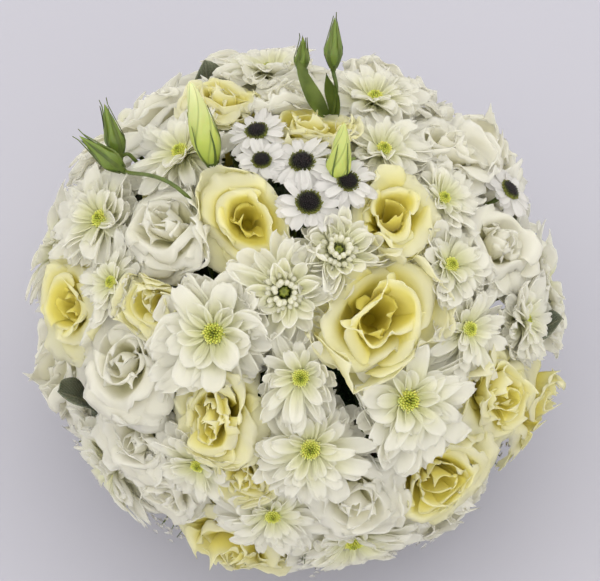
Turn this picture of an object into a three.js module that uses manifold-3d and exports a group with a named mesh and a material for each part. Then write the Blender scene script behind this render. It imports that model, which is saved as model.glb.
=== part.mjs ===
// A floral table centrepiece: a round dome of white chrysanthemums, white and pale yellow lisianthus and
// small dark-eyed daisies, their stems set in a block of floral foam that fills a low round ceramic bowl.
// Millimetres, +Z up, the front of the arrangement towards -Y. The origin is the middle of the bowl's foot.
import * as THREE from "three";
import { mergeVertices } from "three/addons/utils/BufferGeometryUtils.js";
import Module from "manifold-3d";

const wasm = await Module();
wasm.setup();

// ---------- driving dimensions ----------
const DOME_RADIUS = 150; // level, from the dome's middle to the faces of the flowers
const DOME_RISE = 138; // the same, straight up
const DOME_CENTRE = new THREE.Vector3(0, 0, 124);
const CELL_ROOT = new THREE.Vector3(0, 0, 96); // every flower keeps to a cone that narrows to this point
const CELL_GAP = 0.25; // half of the clear gap between two flowers
const OVERLAP = { mum: 9, lisianthus: 9, daisy: 0.7 }; // how far flowers that hold together pass their wall
const NEARBY = 0.6; // radians between the edges of two flowers too far apart to meet
const SKIRT_DROP = 12; // degrees below level, seen from CELL_ROOT, where the lowest petals stop
const FACING_UP = 0.08; // how far every flower leans from square on the dome towards the light
const UNEVEN = 0.08; // how far a petal's length differs from the others', as a share
const SIDE_LEAST = 0.3; // below this a flower faces too nearly along +X to take its own side from it

const BOWL = { rim: 88, height: 66, foot: 46, wall: 4.5, floor: 6, roll: 1.2, fullness: 0.8, sides: 20 };
const BOWL_RINGS = [0.08, 0.28, 0.6, 0.92]; // parts of the bowl's height at which its wall is faceted
const FOAM = { radius: 75, shoulder: 106, top: 121, bevel: 16, gap: 0.4, clearance: 2, sides: 16 };
const FOAM_RINGS = [0.28, 0.6]; // the same for the foam inside the bowl
const STEM = { radius: 2.5, hole: 0.7, overcut: 2, sides: 4 };
const BLADE = 0.9; // thickness of a petal
const LEAF = 1.0; // thickness of a leaf

const radians = THREE.MathUtils.degToRad;
const UP = new THREE.Vector3(0, 0, 1);

// ---------- the florist's plan ----------
// Each spray is one branching stem. fork is where its side stems part and foot is its cut end in the foam.
// A head is [petal node, turn, tilt, radius, extra lean towards the light]: turn in degrees round the bowl
// from +X, tilt in degrees down from the dome's top. Heads with one petal node touch and hold together.
const SPRAYS = [
  {
    stems: "mum_stems_front", kind: "mum", fork: [-96, 62, 94], foot: [-100, 30, 62],
    heads: [
      ["white_mum_left_large", -116, 44, 36],
      ["white_mum_front_pair", -89, 50, 27], ["white_mum_front_pair", -87, 66, 32],
      ["white_mum_low_front", -95, 86, 27],
      ["white_mum_rim_front", -77, 105, 35],
      ["white_mum_low_left", -112, 75, 24],
    ],
  },
  {
    stems: "mum_stems_left", kind: "mum", fork: [-186, 62, 97], foot: [-182, 30, 74],
    heads: [
      ["white_mum_upper_left", 164, 29, 28],
      ["white_mum_left_pair", -177, 50, 30], ["white_mum_left_pair", -155, 51, 22],
      ["white_mum_rim_left", -139, 101, 36], ["white_mum_rim_back_left", 170, 80, 37],
    ],
  },
  {
    stems: "mum_stems_right", kind: "mum", fork: [-34, 58, 101], foot: [-40, 29, 63],
    heads: [
      ["white_mum_right_pair", -6, 35, 23], ["white_mum_right_pair", -29, 42, 25],
      ["white_mum_right_large_pair", -62, 60, 36, 0.12], ["white_mum_right_large_pair", -38, 55, 25],
      ["white_mum_outer_right", -20, 69, 25],
      ["white_mum_rim_right", 3, 87, 37],
    ],
  },
  {
    stems: "mum_stems_top", kind: "mum", fork: [26, 10, 99], foot: [61, 11, 62],
    heads: [
      ["white_mum_top", 100, 43, 30],
      ["white_mum_upper_back_pair", 55, 33, 27], ["white_mum_upper_back_pair", 17, 21, 26],
      ["green_white_mum_pair", -95, 32, 29], ["green_white_mum_pair", -67, 24, 27],
    ],
  },
  {
    stems: "mum_stems_back", kind: "mum", fork: [95, 75, 95], foot: [104, 26, 67],
    heads: [
      ["white_mum_back_pair", 104, 71, 42], ["white_mum_back_pair", 139, 70, 41],
      ["white_mum_rim_back_pair", 29, 96, 40], ["white_mum_rim_back_pair", 60, 95, 42],
    ],
  },
  {
    stems: "white_lisianthus_stems_left", kind: "lisianthus", fork: [-132, 70, 88], foot: [-139, 32, 70],
    petals: "white",
    heads: [
      ["white_lisianthus_upper_left", -156, 33, 28],
      ["white_lisianthus_left_group", -138, 62, 31], ["white_lisianthus_left_group", -128, 77, 24],
      ["white_lisianthus_left_group", -120, 88, 26],
      ["white_lisianthus_front", -78, 82, 28],
      ["white_lisianthus_rim_front", -50, 105, 35],
      ["white_lisianthus_rim_left", -166, 96, 36],
    ],
  },
  {
    stems: "white_lisianthus_stems_back", kind: "lisianthus", fork: [81, 36, 88], foot: [63, 24, 80],
    petals: "white",
    heads: [
      ["white_lisianthus_far_left", 139, 48, 27],
      ["white_lisianthus_top", 96, 24, 23],
      ["white_lisianthus_upper_right", 22, 40, 27],
      ["white_lisianthus_right", -9, 53, 29],
      ["white_lisianthus_back_pair", 33, 62, 39], ["white_lisianthus_back_pair", 68, 61, 41],
    ],
  },
  {
    stems: "yellow_lisianthus_stems_left", kind: "lisianthus", fork: [-148, 38, 86], foot: [-148, 18, 79],
    petals: "yellow",
    heads: [
      ["yellow_lisianthus_top_left", 126, 30, 23],
      ["yellow_lisianthus_centre", -128, 19, 28],
      ["yellow_lisianthus_rim_left", -161, 66, 26],
      ["yellow_lisianthus_left", -138, 44, 24],
      ["yellow_lisianthus_low_left", -110, 61, 27],
      ["yellow_lisianthus_deep_front", -101, 74, 18],
      ["yellow_lisianthus_rim_front", -105, 105, 34],
    ],
    buds: [
      { turn: 164, tilt: 42, offset: [-7, 0, 1], lean: [-0.22, 0.5, 0.8], length: 31, radius: 4.6 },
      { turn: -157, tilt: 25, offset: [-42, 37, -16], lean: [-0.75, 0.3, 0.6], length: 30, radius: 4.6 },
      { turn: -172, tilt: 16.5, offset: [-6, 2, 3], lean: [-0.22, 0.42, 0.88], length: 49, radius: 6.2 },
    ],
  },
  {
    stems: "yellow_lisianthus_stems_right", kind: "lisianthus", fork: [-39, 35, 86], foot: [-42, 9, 76],
    petals: "yellow",
    heads: [
      ["yellow_lisianthus_behind_daisies", 74, 11, 23],
      ["yellow_lisianthus_upper_right", -29, 25, 27],
      ["yellow_lisianthus_large", -62, 40, 36, 0.15],
      ["yellow_lisianthus_right_pair", -38, 73, 28], ["yellow_lisianthus_right_pair", -59, 84, 32],
      ["yellow_lisianthus_rim_right", -23, 97, 36],
    ],
    buds: [
      { turn: -2, tilt: 12.5, offset: [-8, -9, 1], lean: [0.1, 0.4, 0.9], length: 37, radius: 5 },
      { turn: 63, tilt: 19, offset: [-1, 9, 24], lean: [0.02, 0.35, 0.93], length: 29, radius: 4.2 },
      { turn: 86, tilt: 33, offset: [-3, 0, 4], lean: [0.05, 0.3, 0.95], length: 21, radius: 3.6 },
    ],
  },
  {
    stems: "yellow_lisianthus_stems_back", kind: "lisianthus", fork: [122, 84, 84], foot: [122, 36, 79],
    petals: "yellow",
    heads: [
      ["yellow_lisianthus_rim_back_pair", 93, 100, 40], ["yellow_lisianthus_rim_back_pair", 117, 99, 40],
      ["yellow_lisianthus_rim_back", 152, 101, 39],
    ],
  },
  {
    stems: "daisy_stems", kind: "daisy", fork: [-112, 6, 106], foot: [-124, 6, 48],
    heads: [
      ["daisy_bunch", -70, 3, 17], ["daisy_bunch", -79, 13, 17], ["daisy_bunch", -33, 13, 15],
      ["daisy_bunch", 143, 11, 15], ["daisy_bunch", -166, 8, 13],
      ["daisy_side", 8, 54, 15],
    ],
  },
];

// A leafy stem carries a grey leaf raised among the flowers and two leaves that hang over the bowl's rim.
const LEAFY_STEMS = [
  { name: "leafy_stem_left", turn: -150, raised: { turn: -149, tilt: 83, radius: 12 } },
  { name: "leafy_stem_right", turn: -22, raised: { turn: -12, tilt: 83, radius: 10 } },
  { name: "leafy_stem_back", turn: 95, raised: { turn: 118, tilt: 52, radius: 12 } },
];
const LEAFY_STEM = { foot: 50, tip: 84, height: 72 };
const RIM_LEAF = { length: 66, width: 26, spread: [-38, 38], start: 82, height: 73, drop: 22 };
const RAISED_LEAF = { length: 34, width: 24, sink: 16, outwards: 1.2, joint: 0.1 };

// ---------- colours ----------
const WHITE = { color: 0xf3f3ee, roughness: 0.55 };
const YELLOW = { color: 0xebe3ae, roughness: 0.5 };
const DAISY_WHITE = { color: 0xf6f6f4, roughness: 0.5 };
const GREEN = { color: 0x7d9440, roughness: 0.6 };
const LEAF_GREEN = { color: 0x5f7362, roughness: 0.65 };
const FOAM_GREEN = { color: 0x2f4a33, roughness: 0.95 };
const GLAZE = { color: 0xf1efe9, roughness: 0.18 };

// ---------- flower forms ----------
// A layer is a ring of petals: how many, their reach, the height in mm at which it leaves the hub, where two
// petals part and how high that is, and the outline of one petal between two partings. Reach, part, lift and
// heights are shares of the flower's radius, and each outline point is [way across the petal, share of the
// reach, height]. The outer petals reach past the flower's own radius, as far as its cell lets them.
const HUB = { hole: 3.0, wall: 4.8 };
const FORMS = {
  mum: {
    depth: () => 9,
    hub: { sides: 4, closed: false },
    layers: [
      {
        petals: 9, reach: 1.4, foot: 0, part: 0.36, lift: 0.03,
        outline: [[0.14, 0.93, 0.03], [0.86, 0.93, 0.03]],
      },
      {
        petals: 5, reach: 0.76, foot: 4.5, part: 0.28, lift: 0.06,
        outline: [[0.1, 0.95, 0.2], [0.9, 0.95, 0.2]],
      },
    ],
  },
  lisianthus: {
    depth: (radius) => 0.62 * radius,
    hub: { sides: 3, closed: true },
    layers: [
      {
        petals: 5, reach: 1.4, foot: 0, part: 0.5, lift: 0.3,
        outline: [[0.1, 0.84, 0.6], [0.5, 1, 0.54], [0.9, 0.84, 0.6]],
      },
      {
        petals: 3, reach: 0.68, foot: 3.2, part: 0.3, lift: 0.36,
        outline: [[0.08, 0.93, 0.68], [0.92, 0.93, 0.68]],
      },
    ],
  },
  daisy: {
    depth: () => 3,
    hub: { sides: 4, closed: false },
    layers: [
      {
        petals: 8, reach: 1.1, foot: 0, part: 0.36, lift: 0.04,
        outline: [[0.14, 0.94, 0.1], [0.86, 0.94, 0.1]],
      },
    ],
  },
};

// ---------- random draws, the same on every run ----------
const DRAWS = 2 ** 32;
let seed = 4711;
function draw(low, high) {
  seed = (seed * 1664525 + 1013904223) % DRAWS;
  return low + ((high - low) * seed) / DRAWS;
}

// ---------- places and directions ----------
function direction(turn, tilt) {
  const across = Math.sin(radians(tilt));
  return new THREE.Vector3(
    across * Math.cos(radians(turn)), across * Math.sin(radians(turn)), Math.cos(radians(tilt)));
}

// The point of the dome's face that lies turn and tilt from its middle.
function domeFace(turn, tilt) {
  const way = direction(turn, tilt);
  const across = Math.hypot(way.x, way.y) / DOME_RADIUS;
  const reach = 1 / Math.hypot(across, way.z / DOME_RISE);
  return way.multiplyScalar(reach).add(DOME_CENTRE);
}

function level(turn, out, height) {
  return new THREE.Vector3(out * Math.cos(radians(turn)), out * Math.sin(radians(turn)), height);
}

function along(start, way, distance) {
  return start.clone().addScaledVector(way, distance);
}

// ---------- cells: the cone of space that each flower, bud and raised leaf keeps to ----------
function makeCell(group, turn, tilt, radius, overlap = 0) {
  const face = domeFace(turn, tilt);
  const axis = face.clone().sub(CELL_ROOT);
  const width = Math.asin(radius / axis.length());
  return { group, turn, face, axis: axis.normalize(), width, radius, overlap, walls: [] };
}

// The wall between two cells passes through CELL_ROOT and parts them by their widths. Its side points into
// the cell, and petals keep clear of it, or pass it a little where the two flowers hold together.
function wallBetween(cell, other) {
  const apart = cell.axis.angleTo(other.axis);
  const hinge = new THREE.Vector3().crossVectors(cell.axis, other.axis).normalize();
  const edge = cell.axis.clone().applyAxisAngle(hinge, (apart * cell.width) / (cell.width + other.width));
  return { side: edge.cross(hinge), clear: other.group === cell.group ? -cell.overlap : CELL_GAP };
}

function raiseWalls(cells) {
  for (const cell of cells) {
    for (const other of cells) {
      const apart = cell.axis.angleTo(other.axis);
      if (other !== cell && apart < cell.width + other.width + NEARBY) {
        cell.walls.push(wallBetween(cell, other));
      }
    }
    cell.walls.push({ side: direction(cell.turn, SKIRT_DROP), clear: CELL_GAP });
  }
}

const LEAST_ROOM = 0.05;

// How much of the way from root the points may go, in parts of 1, before they or the points under them
// leave the cell.
function room(cell, root, points, under) {
  let share = 1;
  for (const { side, clear } of cell.walls) {
    const start = side.dot(root.clone().sub(CELL_ROOT)) - clear;
    for (const point of points) {
      const outward = -side.dot(point.clone().sub(root));
      const spare = start + Math.min(0, side.dot(under));
      if (outward > spare) share = Math.min(share, Math.max(spare / outward, LEAST_ROOM));
    }
  }
  return share;
}

// ---------- closed skins, built point by point ----------
class Skin {
  points = [];
  faces = [];

  add(point) {
    this.points.push(point.x, point.y, point.z);
    return this.points.length / 3 - 1;
  }

  ring(points) {
    return points.map((point) => this.add(point));
  }

  // A face through any number of corners, anticlockwise from outside, cut into triangles from its first.
  face(...corners) {
    for (let i = 2; i < corners.length; i++) this.faces.push(corners[0], corners[i - 1], corners[i]);
  }

  // The band between two rings of as many points, seen from outside with upper above lower.
  band(lower, upper) {
    lower.forEach((corner, i) => {
      const next = (i + 1) % lower.length;
      this.face(corner, lower[next], upper[next], upper[i]);
    });
  }

  // The flat between an inner and an outer ring, which may have different numbers of points. It faces along
  // the rings' axis, or against it if flipped.
  zip(inner, outer, flipped) {
    let i = 0;
    let j = 0;
    while (i < inner.length || j < outer.length) {
      const outerNext = (j + 0.5) / outer.length < (i + 0.5) / inner.length;
      const corner = inner[i % inner.length];
      const edge = outer[j % outer.length];
      const next = outerNext ? outer[(j + 1) % outer.length] : inner[(i + 1) % inner.length];
      if (flipped) this.face(corner, next, edge);
      else this.face(corner, edge, next);
      if (outerNext) j++;
      else i++;
    }
  }

  solid() {
    return new wasm.Manifold(new wasm.Mesh({
      numProp: 3, vertProperties: new Float32Array(this.points), triVerts: new Uint32Array(this.faces),
    }));
  }
}

function solidOf(geometry) {
  geometry.deleteAttribute("normal");
  geometry.deleteAttribute("uv");
  const { attributes, index } = mergeVertices(geometry);
  return new wasm.Manifold(new wasm.Mesh({
    numProp: 3, vertProperties: attributes.position.array, triVerts: new Uint32Array(index.array),
  }));
}

function fuse(solids) {
  return solids.reduce((whole, solid) => whole.add(solid));
}

function meshOf(name, solid, finish) {
  const { vertProperties, triVerts } = solid.getMesh();
  const geometry = new THREE.BufferGeometry()
    .setAttribute("position", new THREE.BufferAttribute(new Float32Array(vertProperties), 3))
    .setIndex(new THREE.BufferAttribute(new Uint32Array(triVerts), 1));
  geometry.computeVertexNormals();
  const mesh = new THREE.Mesh(geometry, new THREE.MeshStandardMaterial({ metalness: 0, ...finish }));
  mesh.name = name;
  return mesh;
}

// A smooth curve whose equal steps end on its own points.
class Route extends THREE.CatmullRomCurve3 {
  getUtoTmapping(step) {
    return step;
  }
}

function tube(points, radius, sides) {
  const outline = Array.from({ length: sides }, (_, i) => {
    const angle = (2 * Math.PI * i) / sides;
    return new THREE.Vector2(radius * Math.cos(angle), radius * Math.sin(angle));
  });
  return solidOf(new THREE.ExtrudeGeometry(new THREE.Shape(outline), {
    steps: points.length - 1, bevelEnabled: false, extrudePath: new Route(points),
  }));
}

// ---------- a flower head's own directions ----------
function placeHead(cell, kind, lean) {
  const facing = cell.axis.clone().lerp(UP, FACING_UP + lean).normalize();
  const spin = draw(0, 2 * Math.PI);
  const side = new THREE.Vector3(1, 0, 0).cross(facing);
  if (side.length() < SIDE_LEAST) side.set(0, 1, 0).cross(facing);
  side.normalize().applyAxisAngle(facing, spin);
  const heart = along(cell.face, facing, -FORMS[kind].depth(cell.radius));
  return { cell, kind, facing, side, across: facing.clone().cross(side), heart };
}

// The point at an angle round the head, out from its axis and up along it.
function headPoint(head, angle, out, up) {
  return head.heart.clone()
    .addScaledVector(head.side, out * Math.cos(angle))
    .addScaledVector(head.across, out * Math.sin(angle))
    .addScaledVector(head.facing, up);
}

function headRing(head, sides, out, up) {
  return Array.from({ length: sides }, (_, i) => headPoint(head, (2 * Math.PI * i) / sides, out, up));
}

// ---------- petals ----------
// The points under a petal lie square to its slope.
function underside(head, angle, slope) {
  const outwards = headPoint(head, angle, 1, 0).sub(head.heart).multiplyScalar(Math.sin(slope) * BLADE);
  return outwards.addScaledVector(head.facing, -Math.cos(slope) * BLADE);
}

// Adds one ring of petals between the hub's ring on top and its ring below.
function addLayer(skin, head, layer, topRing, underRing) {
  const radius = head.cell.radius;
  const step = (2 * Math.PI) / layer.petals;
  const slope = Math.atan2(layer.lift, layer.part);
  const root = headPoint(head, 0, 0, layer.foot);
  const place = ([way, share, height], petal, length) =>
    headPoint(head, (petal + way) * step, share * radius * length, layer.foot + height * radius);

  const top = [];
  const under = [];
  for (let petal = 0; petal < layer.petals; petal++) {
    const beneath = underside(head, petal * step, slope);
    const parting = place([0, layer.part, layer.lift], petal, 1);
    parting.lerpVectors(root, parting, room(head.cell, root, [parting], beneath));
    top.push(skin.add(parting));
    under.push(skin.add(parting.clone().add(beneath)));
  }
  skin.zip(topRing, top, false);
  skin.zip(underRing, under, true);

  for (let petal = 0; petal < layer.petals; petal++) {
    const next = (petal + 1) % layer.petals;
    const beneath = underside(head, (petal + 0.5) * step, slope);
    const length = layer.reach * draw(1 - UNEVEN, 1 + UNEVEN);
    const points = layer.outline.map((corner) => place(corner, petal, length));
    const share = room(head.cell, root, points, beneath);
    const upper = points.map((point) => skin.add(point.lerpVectors(root, point, share)));
    const lower = points.map((point) => skin.add(point.clone().add(beneath)));
    addPetal(skin, [top[petal], top[next]], [under[petal], under[next]], upper, lower);
  }
}

// One petal: its upper face, its underside and the edge between them. Both faces are cut up alike, into the
// two halves of its body and, where the outline has a point, its tip.
function addPetal(skin, [topStart, topEnd], [underStart, underEnd], upper, lower) {
  const upperEdge = [topStart, ...upper, topEnd];
  const lowerEdge = [underStart, ...lower, underEnd];
  const body = [0, 1, upper.length, upper.length + 1];
  const tip = [1, 2, upper.length];
  for (const corners of upper.length > 2 ? [body, tip] : [body]) {
    skin.face(...corners.map((corner) => upperEdge[corner]));
    skin.face(lowerEdge[corners[0]], ...corners.slice(1).reverse().map((corner) => lowerEdge[corner]));
  }
  for (let i = 0; i < upperEdge.length - 1; i++) {
    skin.face(lowerEdge[i], lowerEdge[i + 1], upperEdge[i + 1], upperEdge[i]);
  }
}

// All the petals of a head, in their layers round a hub, which has a hole for the flower's eye or is closed.
function petalsOf(head) {
  const skin = new Skin();
  const { layers, hub } = FORMS[head.kind];
  const ring = (out, up) => skin.ring(headRing(head, hub.sides, out, up));
  const bottom = ring(HUB.hole, -BLADE);
  let underRing = bottom;
  layers.forEach((layer, i) => {
    const isLast = i === layers.length - 1;
    const topRing = ring(isLast ? HUB.hole : HUB.wall, layer.foot);
    addLayer(skin, head, layer, topRing, underRing);
    if (isLast && hub.closed) {
      skin.face(...topRing);
      skin.face(...[...bottom].reverse());
    } else if (isLast) {
      skin.band([...bottom].reverse(), [...topRing].reverse());
    } else {
      underRing = ring(HUB.wall, layers[i + 1].foot - BLADE);
      skin.band(topRing, underRing);
    }
  });
  return skin.solid();
}

// ---------- the green of a head ----------
// The calyx is below the petals. On a mum or a daisy a neck in the petals' hub joins it to the eye above.
const NECK = { radius: 2.4, clearance: 0.4 };
const EYES = {
  mum: { calyx: 4.6, depth: 10, width: 0.17, height: 0.1 },
  lisianthus: { calyx: 4.4, depth: 12 },
  daisy: { calyx: 3.8, depth: 7, width: 0.27, height: 0.12 },
};
const PEDICEL = { radius: 1.5, sides: 3, sunk: 3, rise: 8, bend: 0.7, first: 1, apart: 2.6 };

function lathe(head, profile, sides) {
  const skin = new Skin();
  const bottom = skin.add(headPoint(head, 0, 0, profile.bottom));
  const rings = profile.rings.map(([out, up]) => skin.ring(headRing(head, sides, out, up)));
  const top = skin.add(headPoint(head, 0, 0, profile.top));
  rings[0].forEach((corner, i) => skin.face(bottom, rings[0][(i + 1) % sides], corner));
  for (let i = 1; i < rings.length; i++) skin.band(rings[i - 1], rings[i]);
  rings.at(-1).forEach((corner, i) => skin.face(top, corner, rings.at(-1)[(i + 1) % sides]));
  return skin.solid();
}

function eyeOf(head) {
  const eye = EYES[head.kind];
  const below = -BLADE - NECK.clearance;
  const calyx = [eye.calyx, below];
  const { sides } = FORMS[head.kind].hub;
  if (!eye.width) return lathe(head, { bottom: -eye.depth, rings: [calyx], top: below }, sides);
  const radius = head.cell.radius;
  const layer = FORMS[head.kind].layers.at(-1);
  const seat = layer.foot + NECK.clearance;
  const climb = (layer.lift * (eye.width * radius - HUB.hole)) / (layer.part - HUB.hole / radius);
  const brim = seat + climb + NECK.clearance;
  return lathe(head, {
    bottom: -eye.depth,
    rings: [calyx, [NECK.radius, below], [NECK.radius, seat], [eye.width * radius, brim]],
    top: brim + eye.height * radius,
  }, sides);
}

// The side stem that runs from a head or a bud down its own cell, then over at the height of the fork to
// its joint on the spray's main stem.
function sideStem(cell, tip, fork, joint) {
  const forkWay = fork.clone().sub(CELL_ROOT);
  const reach = forkWay.length();
  forkWay.normalize();
  const bends = Math.ceil(cell.axis.angleTo(forkWay) / PEDICEL.bend);
  const points = [...tip, along(CELL_ROOT, cell.axis, reach + PEDICEL.rise)];
  for (let i = 1; i < bends; i++) {
    const way = cell.axis.clone().lerp(forkWay, i / bends).normalize();
    points.push(along(CELL_ROOT, way, reach));
  }
  return tube([...points, joint], PEDICEL.radius, PEDICEL.sides);
}

// ---------- buds ----------
// Its stem leaves the flowers a little above its cell's face, and its foot is at that face plus its offset.
const BUD = { leave: 1, sides: 5, rings: [[0.66, 0.06], [1.2, 0.36], [0.8, 0.72]] };

function budOf(cell, plan) {
  const facing = new THREE.Vector3(...plan.lean).normalize();
  const side = new THREE.Vector3(0, 1, 0).cross(facing).normalize();
  const heart = cell.face.clone().add(new THREE.Vector3(...plan.offset));
  const bud = { facing, side, across: facing.clone().cross(side), heart };
  const solid = lathe(bud, {
    bottom: 0,
    rings: BUD.rings.map(([out, up]) => [out * plan.radius, up * plan.length]),
    top: plan.length,
  }, BUD.sides);
  return { bud, solid };
}

// ---------- leaves ----------
const LEAF_STATIONS = [[0.2, 0.62], [0.5, 1], [0.8, 0.66]];
const LEAF_FOLD = 0.14;

// A blade folded along its rib. path gives the rib's point at a part of its length, and side runs across.
function bladeOf(path, side, width) {
  const skin = new Skin();
  const rib = path(1).sub(path(0)).normalize();
  const beneath = rib.clone().cross(side).normalize().multiplyScalar(-LEAF);
  const fold = beneath.clone().multiplyScalar((LEAF_FOLD * width) / LEAF);
  const rows = LEAF_STATIONS.map(([part, share]) => [-1, 0, 1].map((hand) =>
    path(part).addScaledVector(side, (hand * share * width) / 2).addScaledVector(fold, Math.abs(hand))));
  const points = [path(0), ...rows.flat(), path(1)];
  const count = points.length;
  points.forEach((point) => skin.add(point));
  points.forEach((point) => skin.add(point.clone().add(beneath)));
  const both = (...corners) => {
    skin.face(...corners);
    skin.face(...corners.map((corner) => corner + count).reverse());
  };
  const tip = count - 1;
  const left = [0, 1, 4, 7, tip];
  const middle = [0, 2, 5, 8, tip];
  const right = [0, 3, 6, 9, tip];
  both(0, 1, 2);
  both(0, 2, 3);
  for (let i = 1; i < LEAF_STATIONS.length; i++) {
    both(left[i], left[i + 1], middle[i + 1]);
    both(left[i], middle[i + 1], middle[i]);
    both(middle[i], middle[i + 1], right[i + 1]);
    both(middle[i], right[i + 1], right[i]);
  }
  both(7, tip, 8);
  both(8, tip, 9);
  for (let i = 0; i < left.length - 1; i++) {
    skin.face(left[i] + count, left[i + 1] + count, left[i + 1], left[i]);
    skin.face(right[i], right[i + 1], right[i + 1] + count, right[i] + count);
  }
  return skin.solid();
}

// A leaf that leaves the end of a leafy stem level, passes over the rim of the bowl and hangs outside it.
function rimLeaf(stem, spread) {
  const { length, start, height, drop } = RIM_LEAF;
  const root = level(stem.turn, start, height);
  const way = direction(stem.turn + spread, 90);
  const path = (part) => along(root, way, part * length).setZ(height - drop * part ** 2);
  return bladeOf(path, UP.clone().cross(way), RIM_LEAF.width);
}

// A leaf that stands out and up from among the flowers, on a stalk from the same stem.
function raisedLeaf(cell, start) {
  const side = UP.clone().cross(cell.axis).normalize();
  const climb = cell.axis.clone().cross(side);
  const root = along(cell.face, cell.axis, -RAISED_LEAF.sink).addScaledVector(climb, -cell.radius);
  const way = climb.addScaledVector(cell.axis, RAISED_LEAF.outwards).normalize();
  const ends = [-0.5, 0.5].map((hand) =>
    along(root, way, RAISED_LEAF.length / 2).addScaledVector(side, hand * RAISED_LEAF.width));
  const tip = along(root, way, RAISED_LEAF.length);
  const share = room(cell, root, [...ends, tip], cell.axis.clone().multiplyScalar(-LEAF));
  const path = (part) => along(root, way, part * share * RAISED_LEAF.length);
  const blade = bladeOf(path, side, share * RAISED_LEAF.width);
  return [blade, sideStem(cell, [path(RAISED_LEAF.joint)], start, start)];
}

function leafyStem(stem) {
  const foot = level(stem.turn, LEAFY_STEM.foot, LEAFY_STEM.height);
  const tip = level(stem.turn, LEAFY_STEM.tip, LEAFY_STEM.height);
  const blades = RIM_LEAF.spread.map((spread) => rimLeaf(stem, spread));
  return fuse([tube([foot, tip], STEM.radius, STEM.sides), ...blades, ...raisedLeaf(stem.cell, tip)]);
}

// ---------- bowl and foam ----------
// The radius of the bowl's outside at a height above the table.
function bowlWall(height) {
  const part = Math.min(height / BOWL.height, 1);
  return BOWL.foot + (BOWL.rim - BOWL.foot) * Math.sin((part * Math.PI) / 2) ** BOWL.fullness;
}

function latheSolid(profile, sides) {
  const geometry = new THREE.LatheGeometry(profile.map(([out, up]) => new THREE.Vector2(out, up)), sides);
  return solidOf(geometry.rotateX(Math.PI / 2));
}

function makeBowl() {
  const { rim, height: top, wall, floor, roll } = BOWL;
  const heights = BOWL_RINGS.map((part) => part * top);
  const outside = [0, ...heights].map((height) => [bowlWall(height), height]);
  const inside = heights.reverse()
    .filter((height) => height > floor)
    .map((height) => [bowlWall(height) - wall, height]);
  const lip = [[rim, top - roll], [rim - wall / 2, top], [rim - wall, top - roll]];
  const base = [[bowlWall(floor) - wall, floor], [0, floor]];
  return latheSolid([[0, 0], ...outside, ...lip, ...inside, ...base], BOWL.sides);
}

// The straight tubes that the stems stand in, a little wider than the stems.
function stemHole(foot, end) {
  const back = foot.clone().sub(end).normalize();
  return tube([along(foot, back, STEM.overcut), end], STEM.radius + STEM.hole, STEM.sides);
}

function makeFoam(holes) {
  const { radius, shoulder, top, bevel } = FOAM;
  const inside = (height) => Math.min(bowlWall(height) - BOWL.wall - FOAM.clearance, radius);
  const bottom = BOWL.floor + FOAM.gap;
  const heights = [bottom, ...FOAM_RINGS.map((part) => part * BOWL.height)];
  const block = latheSolid([
    [0, bottom], ...heights.map((height) => [inside(height), height]),
    [radius, BOWL.height], [radius, shoulder], [radius - bevel, top], [0, top],
  ], FOAM.sides);
  return holes.reduce((foam, hole) => foam.subtract(hole), block);
}

// ---------- putting it together ----------
const PETAL_FINISH = { white: WHITE, yellow: YELLOW };

function finishOf(spray) {
  if (spray.kind === "daisy") return DAISY_WHITE;
  return PETAL_FINISH[spray.petals ?? "white"];
}

function planSpray(spray) {
  const [turn, tilt, reach] = spray.fork;
  const fork = along(CELL_ROOT, direction(turn, tilt), reach);
  const heads = spray.heads.map(([petals, headTurn, headTilt, radius, lean = 0]) =>
    ({ petals, lean, cell: makeCell(petals, headTurn, headTilt, radius, OVERLAP[spray.kind]) }));
  const buds = (spray.buds ?? []).map((bud, i) =>
    ({ ...bud, cell: makeCell(`${spray.stems}_bud_${i}`, bud.turn, bud.tilt, bud.radius) }));
  return { ...spray, fork, foot: level(...spray.foot), heads, buds };
}

function makeSpray(spray) {
  const petals = new Map();
  const greens = [tube([spray.foot, spray.fork], STEM.radius, STEM.sides)];
  const down = spray.foot.clone().sub(spray.fork).normalize();
  const joint = (order) => along(spray.fork, down, PEDICEL.first + PEDICEL.apart * order);
  spray.heads.forEach(({ petals: name, lean, cell }, order) => {
    const head = placeHead(cell, spray.kind, lean);
    const tip = headPoint(head, 0, 0, PEDICEL.sunk - EYES[head.kind].depth);
    petals.set(name, [...(petals.get(name) ?? []), petalsOf(head)]);
    greens.push(eyeOf(head), sideStem(cell, [tip], spray.fork, joint(order)));
  });
  spray.buds.forEach((plan, order) => {
    const { bud, solid } = budOf(plan.cell, plan);
    const tip = headPoint(bud, 0, 0, PEDICEL.sunk);
    const leave = along(plan.cell.face, plan.cell.axis, BUD.leave);
    greens.push(solid, sideStem(plan.cell, [tip, bud.heart, leave], spray.fork, joint(order + 0.5)));
  });
  const blooms = [...petals].map(([name, solids]) => meshOf(name, fuse(solids), finishOf(spray)));
  return [...blooms, meshOf(spray.stems, fuse(greens), GREEN)];
}

const sprays = SPRAYS.map(planSpray);
const leafyStems = LEAFY_STEMS.map((stem) => {
  const { turn, tilt, radius } = stem.raised;
  return { ...stem, cell: makeCell(stem.name, turn, tilt, radius) };
});
raiseWalls([
  ...sprays.flatMap((spray) => [...spray.heads, ...spray.buds].map(({ cell }) => cell)),
  ...leafyStems.map(({ cell }) => cell),
]);

const holes = [
  ...sprays.map(({ foot, fork }) => stemHole(foot, fork)),
  ...leafyStems.map(({ turn }) => {
    const { foot, tip, height } = LEAFY_STEM;
    return stemHole(level(turn, foot, height), level(turn, tip, height));
  }),
];

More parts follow.
